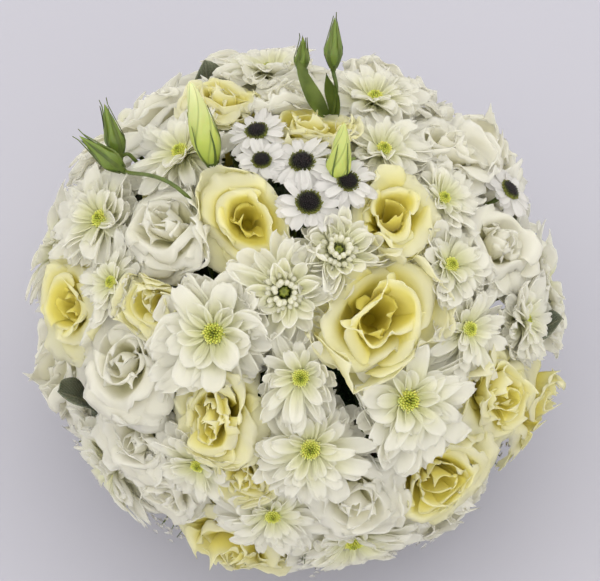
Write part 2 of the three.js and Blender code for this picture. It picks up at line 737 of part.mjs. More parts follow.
const centerpiece = new THREE.Group();
centerpiece.add(
  meshOf("bowl", makeBowl(), GLAZE),
  meshOf("foam", makeFoam(holes), FOAM_GREEN),
  ...sprays.flatMap(makeSpray),
  ...leafyStems.map((stem) => meshOf(stem.name, leafyStem(stem), LEAF_GREEN)),
);
export default centerpiece;
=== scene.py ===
"""A round table centerpiece: white chrysanthemums, white and pale yellow lisianthus and dark-eyed daisies.

The flowers are laid out in millimetres, as in the part's source, and every piece is scaled to metres when it
is finished. A flower's own directions are: out from its axis, round it, and up along the way it faces.
"""
import math
import random

import bmesh
import bpy
from mathutils import Matrix, Vector, noise


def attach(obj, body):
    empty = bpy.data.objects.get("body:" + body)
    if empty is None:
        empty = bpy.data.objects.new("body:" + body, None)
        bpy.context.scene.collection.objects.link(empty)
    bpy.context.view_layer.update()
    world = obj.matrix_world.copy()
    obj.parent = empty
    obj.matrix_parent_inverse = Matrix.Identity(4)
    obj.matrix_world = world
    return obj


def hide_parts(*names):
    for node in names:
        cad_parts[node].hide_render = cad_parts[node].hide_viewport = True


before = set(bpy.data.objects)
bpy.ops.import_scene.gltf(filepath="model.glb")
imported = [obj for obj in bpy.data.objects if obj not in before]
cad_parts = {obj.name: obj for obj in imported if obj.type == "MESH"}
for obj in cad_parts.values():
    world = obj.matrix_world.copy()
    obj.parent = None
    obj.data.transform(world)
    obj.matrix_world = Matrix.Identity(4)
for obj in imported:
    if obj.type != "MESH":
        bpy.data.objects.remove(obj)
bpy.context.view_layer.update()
scene = bpy.context.scene

MM = 0.001
UP = Vector((0, 0, 1))
FULL_TURN = 2 * math.pi
GOLDEN_TURN = math.pi * (3 - math.sqrt(5))
SEED = 2  # of the noise and of every random draw, so that each run grows the same flowers

# ---------- the florist's plan, in millimetres and degrees ----------
DOME_RADIUS = 150
DOME_RISE = 138
DOME_CENTRE = Vector((0, 0, 124))
CELL_ROOT = Vector((0, 0, 96))  # where the flowers' cells start, inside the foam
SKIRT_DROP = 12  # how steeply the dome's under side falls away
SKIRT_CLEAR = 0.25
FACING_UP = 0.08  # the share by which every head turns upwards
NOD = {"mum": 0.42, "lisianthus": 0.42, "daisy": 0.15}  # how far heads face off their cells' axes
NOD_PACE = 0.13  # how quickly that changes from one head to the next
HEART_DEPTH = {
    "mum": lambda radius: 9,
    "lisianthus": lambda radius: 0.62 * radius,
    "daisy": lambda radius: -3,
}

# How petals make room for each other, in millimetres.
CLEAR_OF = {"gap": 1.5, "leafy_stem_left": 4, "daisy_bunch": 2.5}  # the room left beside these
CLEAR_OF_OWN_PIECE = -7  # below 0, petals may reach past the wall between two flowers
CLEAR_OF_OTHERS = -1
GIVE = 2.5  # a petal starts to bend this far before its stop
PUSHED_IN, PUSHED_UP = 0.85, 0.4  # where each mm past the stop goes
LIFT = {"mum": 0.42, "lisianthus": 0.12}  # how much petals rise for each mm past the wall
FLOW_SIZE = 17  # of the slow waves that make petals lie unevenly
FLOW_APART = 3.7  # keeps each head in waves of its own
FULLEST = 1.05  # a petal that would stand further out than the dome's face, times this, is bent back
BULGE = 0.3  # the share of what it stood out that it keeps

# Each spray: stems' node, kind, colour, fork (turn, tilt, distance from CELL_ROOT), foot (turn, out, height),
# heads (petals' node, turn, tilt, radius, lean) and buds (turn, tilt, offset of its foot, the way it leans,
# length, radius, look). Turns go round the bowl from +X, and tilts down from the top.
SPRAYS = [
    ("mum_stems_front", "mum", "white", (-96, 62, 94), (-100, 30, 62), [
        ("white_mum_left_large", -116, 44, 36, 0),
        ("white_mum_front_pair", -89, 50, 27, 0), ("white_mum_front_pair", -87, 66, 32, 0),
        ("white_mum_low_front", -95, 86, 27, 0),
        ("white_mum_rim_front", -77, 105, 35, 0),
        ("white_mum_low_left", -112, 75, 24, 0),
    ], []),
    ("mum_stems_left", "mum", "white", (-186, 62, 97), (-182, 30, 74), [
        ("white_mum_upper_left", 164, 29, 28, 0),
        ("white_mum_left_pair", -177, 50, 30, 0), ("white_mum_left_pair", -155, 51, 22, 0),
        ("white_mum_rim_left", -139, 101, 36, 0), ("white_mum_rim_back_left", 170, 80, 37, 0),
    ], []),
    ("mum_stems_right", "mum", "white", (-34, 58, 101), (-40, 29, 63), [
        ("white_mum_right_pair", -6, 35, 23, 0), ("white_mum_right_pair", -29, 42, 25, 0),
        ("white_mum_right_large_pair", -62, 60, 36, 0.12), ("white_mum_right_large_pair", -38, 55, 25, 0),
        ("white_mum_outer_right", -20, 69, 25, 0),
        ("white_mum_rim_right", 3, 87, 37, 0),
    ], []),
    ("mum_stems_top", "mum", "white", (26, 10, 99), (61, 11, 62), [
        ("white_mum_top", 100, 43, 30, 0),
        ("white_mum_upper_back_pair", 55, 33, 27, 0), ("white_mum_upper_back_pair", 17, 21, 26, 0),
        ("green_white_mum_pair", -95, 32, 29, 0), ("green_white_mum_pair", -67, 24, 27, 0),
    ], []),
    ("mum_stems_back", "mum", "white", (95, 75, 95), (104, 26, 67), [
        ("white_mum_back_pair", 104, 71, 42, 0), ("white_mum_back_pair", 139, 70, 41, 0),
        ("white_mum_rim_back_pair", 29, 96, 40, 0), ("white_mum_rim_back_pair", 60, 95, 42, 0),
    ], []),
    ("white_lisianthus_stems_left", "lisianthus", "white", (-132, 70, 88), (-139, 32, 70), [
        ("white_lisianthus_upper_left", -156, 33, 28, 0),
        ("white_lisianthus_left_group", -138, 62, 31, 0), ("white_lisianthus_left_group", -128, 77, 24, 0),
        ("white_lisianthus_left_group", -120, 88, 26, 0),
        ("white_lisianthus_front", -78, 82, 28, 0),
        ("white_lisianthus_rim_front", -50, 105, 35, 0),
        ("white_lisianthus_rim_left", -166, 96, 36, 0),
    ], []),
    ("white_lisianthus_stems_back", "lisianthus", "white", (81, 36, 88), (63, 24, 80), [
        ("white_lisianthus_far_left", 139, 48, 27, 0),
        ("white_lisianthus_top", 96, 24, 23, 0),
        ("white_lisianthus_upper_right", 22, 40, 27, 0),
        ("white_lisianthus_right", -9, 53, 29, 0),
        ("white_lisianthus_back_pair", 33, 62, 39, 0), ("white_lisianthus_back_pair", 68, 61, 41, 0),
    ], []),
    ("yellow_lisianthus_stems_left", "lisianthus", "yellow", (-148, 38, 86), (-148, 18, 79), [
        ("yellow_lisianthus_top_left", 126, 30, 23, 0),
        ("yellow_lisianthus_centre", -128, 19, 28, 0),
        ("yellow_lisianthus_rim_left", -161, 66, 26, 0),
        ("yellow_lisianthus_left", -138, 44, 24, 0),
        ("yellow_lisianthus_low_left", -110, 61, 27, 0),
        ("yellow_lisianthus_deep_front", -101, 74, 18, 0),
        ("yellow_lisianthus_rim_front", -105, 105, 34, 0),
    ], [
        (164, 42, (-7, 0, 1), (-0.22, 0.5, 0.8), 31, 4.6, "dark"),
        (-157, 25, (-42, 37, -16), (-0.75, 0.3, 0.6), 30, 4.6, "dark"),
        (-172, 16.5, (-6, 2, 3), (-0.22, 0.42, 0.88), 49, 6.2, "pale"),
    ]),
    ("yellow_lisianthus_stems_right", "lisianthus", "yellow", (-39, 35, 86), (-42, 9, 76), [
        ("yellow_lisianthus_behind_daisies", 74, 11, 23, 0),
        ("yellow_lisianthus_upper_right", -29, 25, 27, 0),
        ("yellow_lisianthus_large", -62, 40, 36, 0.15),
        ("yellow_lisianthus_right_pair", -38, 73, 28, 0), ("yellow_lisianthus_right_pair", -59, 84, 32, 0),
        ("yellow_lisianthus_rim_right", -23, 97, 36, 0),
    ], [
        (-2, 12.5, (-9, -13, -3), (0.1, 0.4, 0.9), 37, 5.4, "lime"),
        (63, 19, (-1, 9, 24), (0.02, 0.35, 0.93), 29, 4.2, "leafy"),
        (86, 33, (-3, 0, 4), (0.05, 0.3, 0.95), 21, 3.6, "dark"),
    ]),
    ("yellow_lisianthus_stems_back", "lisianthus", "yellow", (122, 84, 84), (122, 36, 79), [
        ("yellow_lisianthus_rim_back_pair", 93, 100, 40, 0),
        ("yellow_lisianthus_rim_back_pair", 117, 99, 40, 0),
        ("yellow_lisianthus_rim_back", 152, 101, 39, 0),
    ], []),
    ("daisy_stems", "daisy", "white", (-112, 6, 106), (-124, 6, 48), [
        ("daisy_bunch", -70, 3, 17, 0), ("daisy_bunch", -79, 13, 17, 0), ("daisy_bunch", -33, 13, 15, 0),
        ("daisy_bunch", 143, 11, 15, 0), ("daisy_bunch", -166, 8, 13, 0),
        ("daisy_side", 8, 54, 15, 0),
    ], []),
]
# Each leafy stem: its node, its turn, and the place (turn, tilt, radius) of its raised leaf.
LEAFY_STEMS = [
    ("leafy_stem_left", -150, (-149, 83, 12)),
    ("leafy_stem_right", -22, (-12, 83, 10)),
    ("leafy_stem_back", 95, (118, 52, 12)),
]

# Places (turn, tilt, radius) where the flowers part and show the dark between them.
GAPS = [
    (-139, 42, 3), (-82, 49, 2), (-74, 62, 3), (-124, 33, 2.5), (-53, 20, 2), (-29, 61, 3),
    (-98, 49, 1.5), (-174, 39, 2), (-165, 7, 2), (-55, 74, 2.5), (60, 75, 2), (120, 60, 2),
]
# The wider hollows between the flowers (turn, tilt), which leaves fill.
HOLLOWS = [(9, 68), (162, 57), (81, 81), (174, 102)]
# Where fine filler stands round the rim (turn, tilt).
FILLER_SPRIGS = [(-122, 98), (-114, 100), (-86, 102), (-66, 99), (-60, 101), (-148, 97), (-30, 100),
                 (40, 99), (100, 101), (160, 98)]

# The radii of stems and the thickness of petals and leaves, in millimetres.
MAIN_STEM, SIDE_STEM, LEAF_STALK, BUD_STEM, SPRIG = 2.4, 1.35, 1.2, 1.1, 0.3
FORK_STEP = 2.6  # between one side stem and the next
PETAL_WALL, LOW_LEAF_WALL, LEAF_WALL = 0.3, 0.4, 0.5
CALYX_FOOT = {"mum": -9.5, "lisianthus": -11.5, "daisy": -6.5}  # where a side stem ends under its head

BOWL_HEIGHT, BOWL_FOOT, BOWL_BRIM = 66, 46, 88  # the foot and the brim are radii
BOWL_WALL = 4.5
BOWL_FLOOR = 6  # the height of the floor inside it
FOAM_RADIUS, FOAM_TOP = 75, 121
FOAM_FIT = 6.5  # how far the foam stays inside the bowl's outer face

# The camera: degrees above the table, metres away, and its focal length in the photograph's pixels.
CAMERA_RISE, CAMERA_AWAY = 55, 1.05
PHOTO_WIDTH, FOCAL_LENGTH, SENSOR_WIDTH = 600, 1757, 36
DAYLIGHT = (1.0, 0.985, 0.96)


# ---------- places and directions ----------
def direction(turn, tilt):
    """The way that points down from straight up by tilt, and round from +X by turn."""
    turn, tilt = math.radians(turn), math.radians(tilt)
    return Vector((math.sin(tilt) * math.cos(turn), math.sin(tilt) * math.sin(turn), math.cos(tilt)))


def dome_face(turn, tilt):
    """The point of the dome in that direction from its centre."""
    way = direction(turn, tilt)
    across = math.hypot(way.x, way.y) / DOME_RADIUS
    return DOME_CENTRE + way / math.hypot(across, way.z / DOME_RISE)


def level(turn, out, height):
    """A point at a height above the table, out from the bowl's axis by so much."""
    turn = math.radians(turn)
    return Vector((out * math.cos(turn), out * math.sin(turn), height))


def swelling(share):
    """Rises from 0 to 1 with the share, steeply at first, and stays at 1 after that."""
    return math.sin(min(share, 1) * math.pi / 2)


def arch(root, tip, way, height):
    """A leaf's rib from root to tip, bowed along way by height."""
    return lambda part: root.lerp(tip, part) + way * (height * math.sin(math.pi * part))


def standing(place, way):
    """Where a small turned form goes that stands at place and points along way."""
    return Matrix.Translation(place) @ way.to_track_quat("Z", "Y").to_matrix().to_4x4()


class Cell:
    """The space that a flower keeps to among its neighbours: a cone from CELL_ROOT, cut by flat walls."""

    def __init__(self, node, turn, tilt, radius):
        self.node, self.turn, self.radius = node, turn, radius
        self.face = dome_face(turn, tilt)
        reach = self.face - CELL_ROOT
        self.axis = reach.normalized()
        self.width = math.asin(radius / reach.length)
        self.walls = []

    def wall_to(self, other):
        """The wall between this flower and another. Flowers of one piece may pass it."""
        apart = self.axis.angle(other.axis)
        hinge = self.axis.cross(other.axis).normalized()
        edge = Matrix.Rotation(apart * self.width / (self.width + other.width), 3, hinge) @ self.axis
        clear = CLEAR_OF.get(other.node, CLEAR_OF_OTHERS)
        if other.node == self.node:
            clear = CLEAR_OF_OWN_PIECE
        self.walls.append((edge.cross(hinge), clear))

    def past(self, point):
        """How far the point is past the nearest wall, below 0 inside."""
        return max(clear - side.dot(point - CELL_ROOT) for side, clear in self.walls)

    def press(self, point, ease, lift):
        """The point, pushed back from the walls and a little upwards, as petals are in a full bunch.

        ease moves this petal's stop: below 0 it reaches over its neighbour, and rises by lift to do so.
        """
        for side, clear in self.walls:
            past = clear - side.dot(point - CELL_ROOT)
            over = past + ease
            if over > -GIVE:
                back = over if over > GIVE else (over + GIVE) ** 2 / (4 * GIVE)
                point = point + side * (PUSHED_IN * back) + self.axis * (PUSHED_UP * back)
            if past > 0:
                point = point + self.axis * (lift * past)
        return point


class Head:
    """A flower's place: its heart, the way it faces, and the directions out from its axis."""

    def __init__(self, cell, kind, lean=0.0):
        self.cell, self.kind, self.radius = cell, kind, cell.radius
        self.facing = cell.axis.lerp(UP, FACING_UP + lean).normalized()
        self.facing = (self.facing + noise.noise_vector(cell.face * NOD_PACE) * NOD[kind]).normalized()
        self.side = Vector((1, 0, 0)).cross(self.facing)
        if self.side.length < 0.3:  # it faces along X
            self.side = Vector((0, 1, 0)).cross(self.facing)
        self.side.normalize()
        self.round = self.facing.cross(self.side)
        self.heart = cell.face - self.facing * HEART_DEPTH[kind](cell.radius)

    def out(self, angle):
        return self.side * math.cos(angle) + self.round * math.sin(angle)

    def at(self, angle, out, up):
        return self.heart + self.out(angle) * out + self.facing * up

    def settle(self, point, ease, loose):
        """Where a petal's point comes to lie.

        It is moved by up to about loose in slow waves, kept to its cell, and bent back to the dome.
        """
        flow = noise.noise_vector(point / FLOW_SIZE + self.heart * FLOW_APART)
        free = min(1.0, (point - self.heart).length / self.radius)
        point += flow * (loose * free)
        if self.kind != "daisy":  # daisies lie on top of the others
            point = self.cell.press(point, ease, LIFT[self.kind])
        point -= DOME_CENTRE
        swell = math.hypot(point.x / DOME_RADIUS, point.y / DOME_RADIUS, point.z / DOME_RISE)
        if swell > FULLEST:
            point *= (FULLEST + (swell - FULLEST) * BULGE) / swell
        return DOME_CENTRE + point


# ---------- mesh work ----------
def new_mesh():
    """An empty mesh whose points can have a tint, and a mark that is the same all over one petal."""
    bm = bmesh.new()
    bm.loops.layers.uv.new("petal")
    bm.verts.layers.float.new("tint")
    bm.verts.layers.float.new("mark")
    return bm


def give_finish(verts, finish):
    """Gives the faces round these points the piece's finish of that number."""
    for face in {face for vert in verts for face in vert.link_faces}:
        face.material_index = finish


def sheet(bm, columns, rows, place, mark=0.0, closed=False, finish=0):
    """A thin surface: a flat grid, each of whose points is put where place(across, along) says.

    place takes shares from 0 to 1 and gives the point and its tint. A closed sheet meets itself.
    """
    made = bmesh.ops.create_grid(bm, x_segments=columns, y_segments=rows, size=0.5, calc_uvs=True)["verts"]
    tint, marks = bm.verts.layers.float["tint"], bm.verts.layers.float["mark"]
    for vert in made:
        across = min(max(vert.co.x + 0.5, 0.0), 1.0)
        along = min(max(vert.co.y + 0.5, 0.0), 1.0)
        vert.co, vert[tint] = place(across, along)
        vert[marks] = mark
    if finish:
        give_finish(made, finish)
    if closed:
        bmesh.ops.remove_doubles(bm, verts=made, dist=0.005)


def rod(bm, points, radius, sides=8):
    """A round stem through the points, closed at both ends."""
    path = [points[0], *points, points[-1]]
    radii = [0.0, *[radius] * len(points), 0.0]
    last = len(points) - 1
    ways = [(points[min(i + 1, last)] - points[max(i - 1, 0)]).normalized() for i in range(last + 1)]
    ways = [ways[0], *ways, ways[-1]]
    side = ways[0].orthogonal().normalized()
    sides_along = []
    for way in ways:
        side = (side - way * side.dot(way)).normalized()
        sides_along.append(side)
    rows = len(path) - 1

    def place(across, along):
        i = round(along * rows)
        angle = FULL_TURN * across
        flat = sides_along[i] * math.cos(angle) + ways[i].cross(sides_along[i]) * math.sin(angle)
        return path[i] + flat * radii[i], 0.0

    sheet(bm, sides, rows, place, closed=True)


def smooth_path(start, leave, arrive, end, steps):
    """Points on one smooth curve from start to end, by way of the two handles."""
    points = []
    for i in range(steps + 1):
        t = i / steps
        points.append(start * (1 - t) ** 3 + leave * (3 * t * (1 - t) ** 2)
                      + arrive * (3 * t * t * (1 - t)) + end * t ** 3)
    return points


def turned(bm, head, profile, columns=14, finish=0, lobes=0.0, count=5):
    """A form turned on a flower's axis from (out, up, tint) points. Lobes give it as many ribs as count."""
    rows = len(profile) - 1

    def place(across, along):
        out, up, tint = profile[round(along * rows)]
        angle = FULL_TURN * across
        return head.at(-angle, out * (1 + lobes * math.cos(count * angle)), up), tint

    sheet(bm, columns, rows, place, closed=True, finish=finish)


def lathe(profile, steps):
    """A bowl or block turned on the arrangement's own axis from (out, up) points that start and end on it."""
    bm = bmesh.new()
    corners = [bm.verts.new((out, 0, up)) for out, up in profile]
    edges = [bm.edges.new(pair) for pair in zip(corners, corners[1:])]
    bmesh.ops.spin(bm, geom=corners + edges, cent=(0, 0, 0), axis=(0, 0, 1), dvec=(0, 0, 0),
                   angle=FULL_TURN, steps=steps, use_merge=True, use_duplicate=False)
    bmesh.ops.remove_doubles(bm, verts=bm.verts, dist=0.01)
    bmesh.ops.recalc_face_normals(bm, faces=bm.faces)
    return bm


def finish_piece(name, bm, finishes, replaced=(), wall=0.0):
    """Makes the mesh a piece of the part, in metres. wall is the thickness of its thin sheets in mm."""
    bmesh.ops.scale(bm, vec=(MM, MM, MM), verts=bm.verts)
    mesh = bpy.data.meshes.new(name)
    bm.to_mesh(mesh)
    bm.free()
    mesh.polygons.foreach_set("use_smooth", [True] * len(mesh.polygons))
    for material in finishes:
        mesh.materials.append(material)
    piece = bpy.data.objects.new(name, mesh)
    scene.collection.objects.link(piece)
    if wall:
        thick = piece.modifiers.new("thickness", "SOLIDIFY")
        thick.thickness = wall * MM
        thick.offset = -1
    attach(piece, "root")
    if replaced:
        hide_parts(*replaced)


# ---------- finishes ----------
class Amount:
    """A number that varies over a finish. Arithmetic on it adds Math nodes."""

    def __init__(self, finish, socket):
        self.finish, self.socket = finish, socket

    def _sum(self, operation, *values):
        sockets = [value.socket if isinstance(value, Amount) else value for value in values]
        made = self.finish.node("ShaderNodeMath", {"operation": operation}, dict(enumerate(sockets)))
        return Amount(self.finish, made.outputs[0])

    def __add__(self, other):
        return self._sum("ADD", self, other)

    __radd__ = __add__

    def __sub__(self, other):
        return self._sum("SUBTRACT", self, other)

    def __rsub__(self, other):
        return self._sum("SUBTRACT", other, self)

    def __mul__(self, other):
        return self._sum("MULTIPLY", self, other)

    __rmul__ = __mul__

    def __abs__(self):
        return self._sum("ABSOLUTE", self)

    def over(self, low, high):
        """0 up to low, 1 from high on, smooth between."""
        made = self.finish.node("ShaderNodeMapRange", {"interpolation_type": "SMOOTHSTEP"},
                                {"Value": self.socket, "From Min": low, "From Max": high})
        return Amount(self.finish, made.outputs["Result"])


class Finish:
    """One material, with its own few shortcuts to the nodes it needs."""

    def __init__(self, name, roughness=0.5, **shader):
        self.material = bpy.data.materials.new(name)
        self.material.use_nodes = True
        self.tree = self.material.node_tree
        self.shader = next(node for node in self.tree.nodes if node.type == "BSDF_PRINCIPLED")
        self.set("Roughness", roughness)
        for socket, value in shader.items():
            self.set(socket.replace("_", " "), value)

    def set(self, socket, value):
        if isinstance(value, Amount):
            value = value.socket
        if isinstance(value, bpy.types.NodeSocket):
            self.tree.links.new(value, self.shader.inputs[socket])
        else:
            self.shader.inputs[socket].default_value = value

    def node(self, kind, settings=None, inputs=None):
        made = self.tree.nodes.new(kind)
        for setting, value in (settings or {}).items():
            if setting == "stops":
                self._stops(made.color_ramp, value)
            else:
                setattr(made, setting, value)
        for socket, value in (inputs or {}).items():
            value = value.socket if isinstance(value, Amount) else value
            if isinstance(value, bpy.types.NodeSocket):
                self.tree.links.new(value, made.inputs[socket])
            else:
                made.inputs[socket].default_value = value
        return made

    @staticmethod
    def _stops(ramp, stops):
        while len(ramp.elements) < len(stops):
            ramp.elements.new(1.0)
        for element, (position, colour) in zip(ramp.elements, stops):
            element.position = position
            element.color = (*colour, 1)

    def attribute(self, name):
        return Amount(self, self.node("ShaderNodeAttribute", {"attribute_name": name}).outputs["Fac"])

    def petal_map(self):
        """Across and along a petal, each from 0 to 1."""
        place = self.node("ShaderNodeUVMap", {"uv_map": "petal"}).outputs["UV"]
        parts = self.node("ShaderNodeSeparateXYZ", inputs={0: place}).outputs
        return Amount(self, parts["X"]), Amount(self, parts["Y"])

    def object_place(self):
        return self.node("ShaderNodeTexCoord").outputs["Object"]

    def cloud(self, scale, place=None, detail=3.0):
        made = self.node("ShaderNodeTexNoise", inputs={
            "Vector": place or self.object_place(), "Scale": scale, "Detail": detail, "Roughness": 0.55})
        return Amount(self, made.outputs["Fac"])

    def streaks(self, wide, long):
        """Noise drawn out along each petal, different on every one."""
        across, along = self.petal_map()
        mark = self.attribute("mark")
        place = self.node("ShaderNodeCombineXYZ", inputs={
            "X": across * wide, "Y": along * long, "Z": mark * 37.0}).outputs[0]
        return self.cloud(1.0, place, detail=2.0)

    def mix(self, share, first, second, blend="MIX"):
        made = self.node("ShaderNodeMix", {"data_type": "RGBA", "blend_type": blend}, {
            "Factor": share, 6: self._colour(first), 7: self._colour(second)})
        return made.outputs[2]

    @staticmethod
    def _colour(value):
        return (*value, 1) if isinstance(value, tuple) else value

    def ramp(self, share, *stops):
        return self.node("ShaderNodeValToRGB", {"stops": stops}, {"Fac": share}).outputs["Color"]

    def let_through(self, share, colour):
        """Lets a share of the light through to the other side, as thin petals do."""
        through = self.node("ShaderNodeBsdfTranslucent", inputs={"Color": (*colour, 1)})
        mixed = self.node("ShaderNodeMixShader", inputs={
            0: share, 1: self.shader.outputs[0], 2: through.outputs[0]})
        output = next(node for node in self.tree.nodes if node.type == "OUTPUT_MATERIAL")
        self.tree.links.new(mixed.outputs[0], output.inputs["Surface"])

    def bump(self, height, strength, distance):
        made = self.node("ShaderNodeBump", inputs={
            "Height": height, "Strength": strength, "Distance": distance * MM})
        self.set("Normal", made.outputs["Normal"])


def petal_finish(name, colours, shade, through, ribs, roughness=0.6):
    """A soft petal. colours run from its brim to its throat, and shade is the tone between its ribs."""
    finish = Finish(name, roughness, Specular_IOR_Level=0.25)
    tint = finish.attribute("tint")
    streaks = finish.streaks(ribs, 2.2)
    fine = finish.streaks(ribs * 3.5, 5.0)
    cloud = finish.cloud(38.0)
    colour = finish.ramp(tint + (cloud - 0.5) * 0.1, *colours)
    colour = finish.mix(streaks.over(0.42, 0.75) * 0.3, colour, shade, "MULTIPLY")
    colour = finish.mix(fine.over(0.5, 0.8) * 0.14, colour, shade, "MULTIPLY")
    finish.set("Base Color", colour)
    finish.set("Roughness", roughness + (cloud - 0.5) * 0.2)
    finish.bump(streaks * 0.8 + fine * 0.25, 0.4, 0.4)
    finish.let_through(0.62, through)
    return finish.material


def floret_finish(name, stops):
    """The small florets of an eye, coloured from its middle to its rim."""
    finish = Finish(name, 0.55, Subsurface_Weight=0.1, Subsurface_Scale=0.001)
    tint = finish.attribute("tint")
    cloud = finish.cloud(420.0)
    finish.set("Base Color", finish.ramp(tint + (cloud - 0.5) * 0.22, *stops))
    finish.bump(cloud, 0.4, 0.3)
    return finish.material


def stem_finish():
    """Stems and calyxes, yellow-green with darker flecks."""
    finish = Finish("green_stem", 0.5, Subsurface_Weight=0.08, Subsurface_Scale=0.001)
    cloud = finish.cloud(60.0)
    fine = finish.cloud(700.0)
    colour = finish.mix(cloud.over(0.35, 0.7), (0.065, 0.10, 0.01), (0.16, 0.215, 0.035))
    finish.set("Base Color", finish.mix(fine * 0.3, colour, (0.05, 0.075, 0.01)))
    finish.set("Roughness", 0.42 + cloud * 0.2)
    finish.bump(fine, 0.25, 0.2)
    return finish.material


def bud_finish():
    """A furled bud, dark green at its foot and paler to its tip."""
    finish = Finish("lisianthus_bud", 0.42, Subsurface_Weight=0.2, Subsurface_Scale=0.002)
    tint = finish.attribute("tint")
    across, along = finish.petal_map()
    cloud = finish.cloud(160.0)
    fold = finish.node("ShaderNodeTexWave", {"wave_type": "BANDS", "bands_direction": "X"}, {
        "Vector": finish.node("ShaderNodeCombineXYZ", inputs={"X": across + along * 0.28}).outputs[0],
        "Scale": 1.59, "Distortion": 0.4, "Detail": 1.0}).outputs["Fac"]
    edge = Amount(finish, fold).over(0.9, 1.0)
    colour = finish.ramp(tint + (cloud - 0.5) * 0.12, (0.0, (0.06, 0.10, 0.01)), (0.3, (0.19, 0.27, 0.035)),
                         (0.6, (0.43, 0.51, 0.08)), (1.0, (0.69, 0.72, 0.37)))
    finish.set("Base Color", finish.mix(edge * 0.4, colour, (0.10, 0.16, 0.02)))
    finish.bump(cloud + edge * 0.6, 0.4, 0.4)
    return finish.material


def leaf_finish(name, dark, pale, vein, roughness=0.55):
    """A matt leaf with a midrib, side veins and a fine net between them."""
    finish = Finish(name, roughness, Subsurface_Weight=0.08, Subsurface_Scale=0.0015)
    across, along = finish.petal_map()
    middle = abs(across - 0.5)
    rib = 1.0 - middle.over(0.01, 0.045)
    lines = finish.node("ShaderNodeTexWave", {"wave_type": "BANDS", "bands_direction": "X"}, {
        "Vector": finish.node("ShaderNodeCombineXYZ", inputs={"X": along * 1.0 - middle * 0.75}).outputs[0],
        "Scale": 3.2, "Distortion": 0.6, "Detail": 1.0, "Detail Scale": 2.0}).outputs["Fac"]
    side_veins = Amount(finish, lines).over(0.86, 0.99) * 0.6
    net = finish.node("ShaderNodeTexVoronoi", {"feature": "DISTANCE_TO_EDGE"}, {
        "Vector": finish.object_place(), "Scale": 620.0})
    mesh = 1.0 - Amount(finish, net.outputs["Distance"]).over(0.0, 0.12)
    cloud = finish.cloud(45.0)
    colour = finish.mix(cloud.over(0.3, 0.7), dark, pale)
    colour = finish.mix(mesh * 0.35, colour, vein)
    colour = finish.mix(rib * 0.7 + side_veins * 0.6, colour, vein)
    finish.set("Base Color", colour)
    finish.set("Roughness", roughness + cloud * 0.15)
    finish.bump(rib + side_veins + mesh * 0.3, 0.5, 0.5)
    return finish.material


def foam_finish():
    """Soaked green floral foam, full of fine pores, whose hollows are darkened with painted shade."""
    finish = Finish("floral_foam", 0.95)
    pores = finish.node("ShaderNodeTexVoronoi", inputs={"Vector": finish.object_place(), "Scale": 900.0})
    pore = Amount(finish, pores.outputs["Distance"])
    cloud = finish.cloud(30.0)
    colour = finish.mix(cloud.over(0.3, 0.7), (0.018, 0.05, 0.022), (0.035, 0.085, 0.04))
    # the darker colour in the middle of each pore is painted shade in its hollow
    finish.set("Base Color", finish.mix(pore.over(0.5, 0.1) * 0.5, colour, (0.01, 0.022, 0.012)))
    finish.bump(pore, 0.8, 0.8)
    return finish.material


def glaze_finish():
    """White glaze, thinner and warmer on the lip and the edge of the foot, bare clay under the foot."""
    finish = Finish("glaze", 0.16, Coat_Weight=0.4, Coat_Roughness=0.06, Specular_IOR_Level=0.5)
    place = finish.object_place()
    height = Amount(finish, finish.node("ShaderNodeSeparateXYZ", inputs={0: place}).outputs["Z"])
    cloud = finish.cloud(14.0)
    specks = finish.cloud(900.0, detail=1.0)
    lip = height.over((BOWL_HEIGHT - 2.5) * MM, BOWL_HEIGHT * MM)
    bare = 1.0 - height.over(0.0006, 0.0022)
    colour = finish.mix(cloud.over(0.35, 0.65), (0.80, 0.79, 0.75), (0.86, 0.855, 0.83))
    colour = finish.mix(specks.over(0.68, 0.78) * 0.35, colour, (0.45, 0.38, 0.29))
    colour = finish.mix(lip * 0.35, colour, (0.66, 0.57, 0.44))
    finish.set("Base Color", finish.mix(bare, colour, (0.62, 0.52, 0.40)))
    finish.set("Roughness", 0.14 + bare * 0.6 + cloud * 0.06)
    finish.bump(cloud * 0.7 + specks * 0.05, 0.25, 0.6)
    return finish.material


def floor_finish():
    finish = Finish("floor", 0.85)
    cloud = finish.cloud(1.2)
    finish.set("Base Color", finish.mix(cloud.over(0.3, 0.7), (0.475, 0.47, 0.53), (0.49, 0.485, 0.545)))
    return finish.material


WHITE_PETAL = petal_finish("mum_petal", [
    (0.0, (0.96, 0.955, 0.92)), (0.3, (0.955, 0.95, 0.88)),
    (0.65, (0.90, 0.91, 0.58)), (1.0, (0.70, 0.76, 0.20)),
], (0.94, 0.935, 0.88), (0.96, 0.95, 0.885), ribs=6.0)
WHITE_SILK = petal_finish("white_lisianthus_petal", [
    (0.0, (0.96, 0.955, 0.915)), (0.35, (0.955, 0.945, 0.86)),
    (0.65, (0.93, 0.91, 0.66)), (1.0, (0.68, 0.69, 0.22)),
], (0.955, 0.95, 0.89), (0.96, 0.95, 0.885), ribs=9.0)
YELLOW_SILK = petal_finish("yellow_lisianthus_petal", [
    (0.0, (0.96, 0.95, 0.84)), (0.2, (0.955, 0.94, 0.68)),
    (0.45, (0.94, 0.86, 0.22)), (1.0, (0.57, 0.45, 0.005)),
], (0.955, 0.945, 0.78), (0.955, 0.935, 0.70), ribs=9.0)
DAISY_PETAL = petal_finish("daisy_petal", [
    (0.0, (0.95, 0.94, 0.93)), (0.7, (0.94, 0.93, 0.90)), (1.0, (0.70, 0.72, 0.48)),
], (0.93, 0.925, 0.93), (0.95, 0.94, 0.92), ribs=4.0)
PETALS = {"mum": WHITE_PETAL, "white": WHITE_SILK, "yellow": YELLOW_SILK, "daisy": DAISY_PETAL}
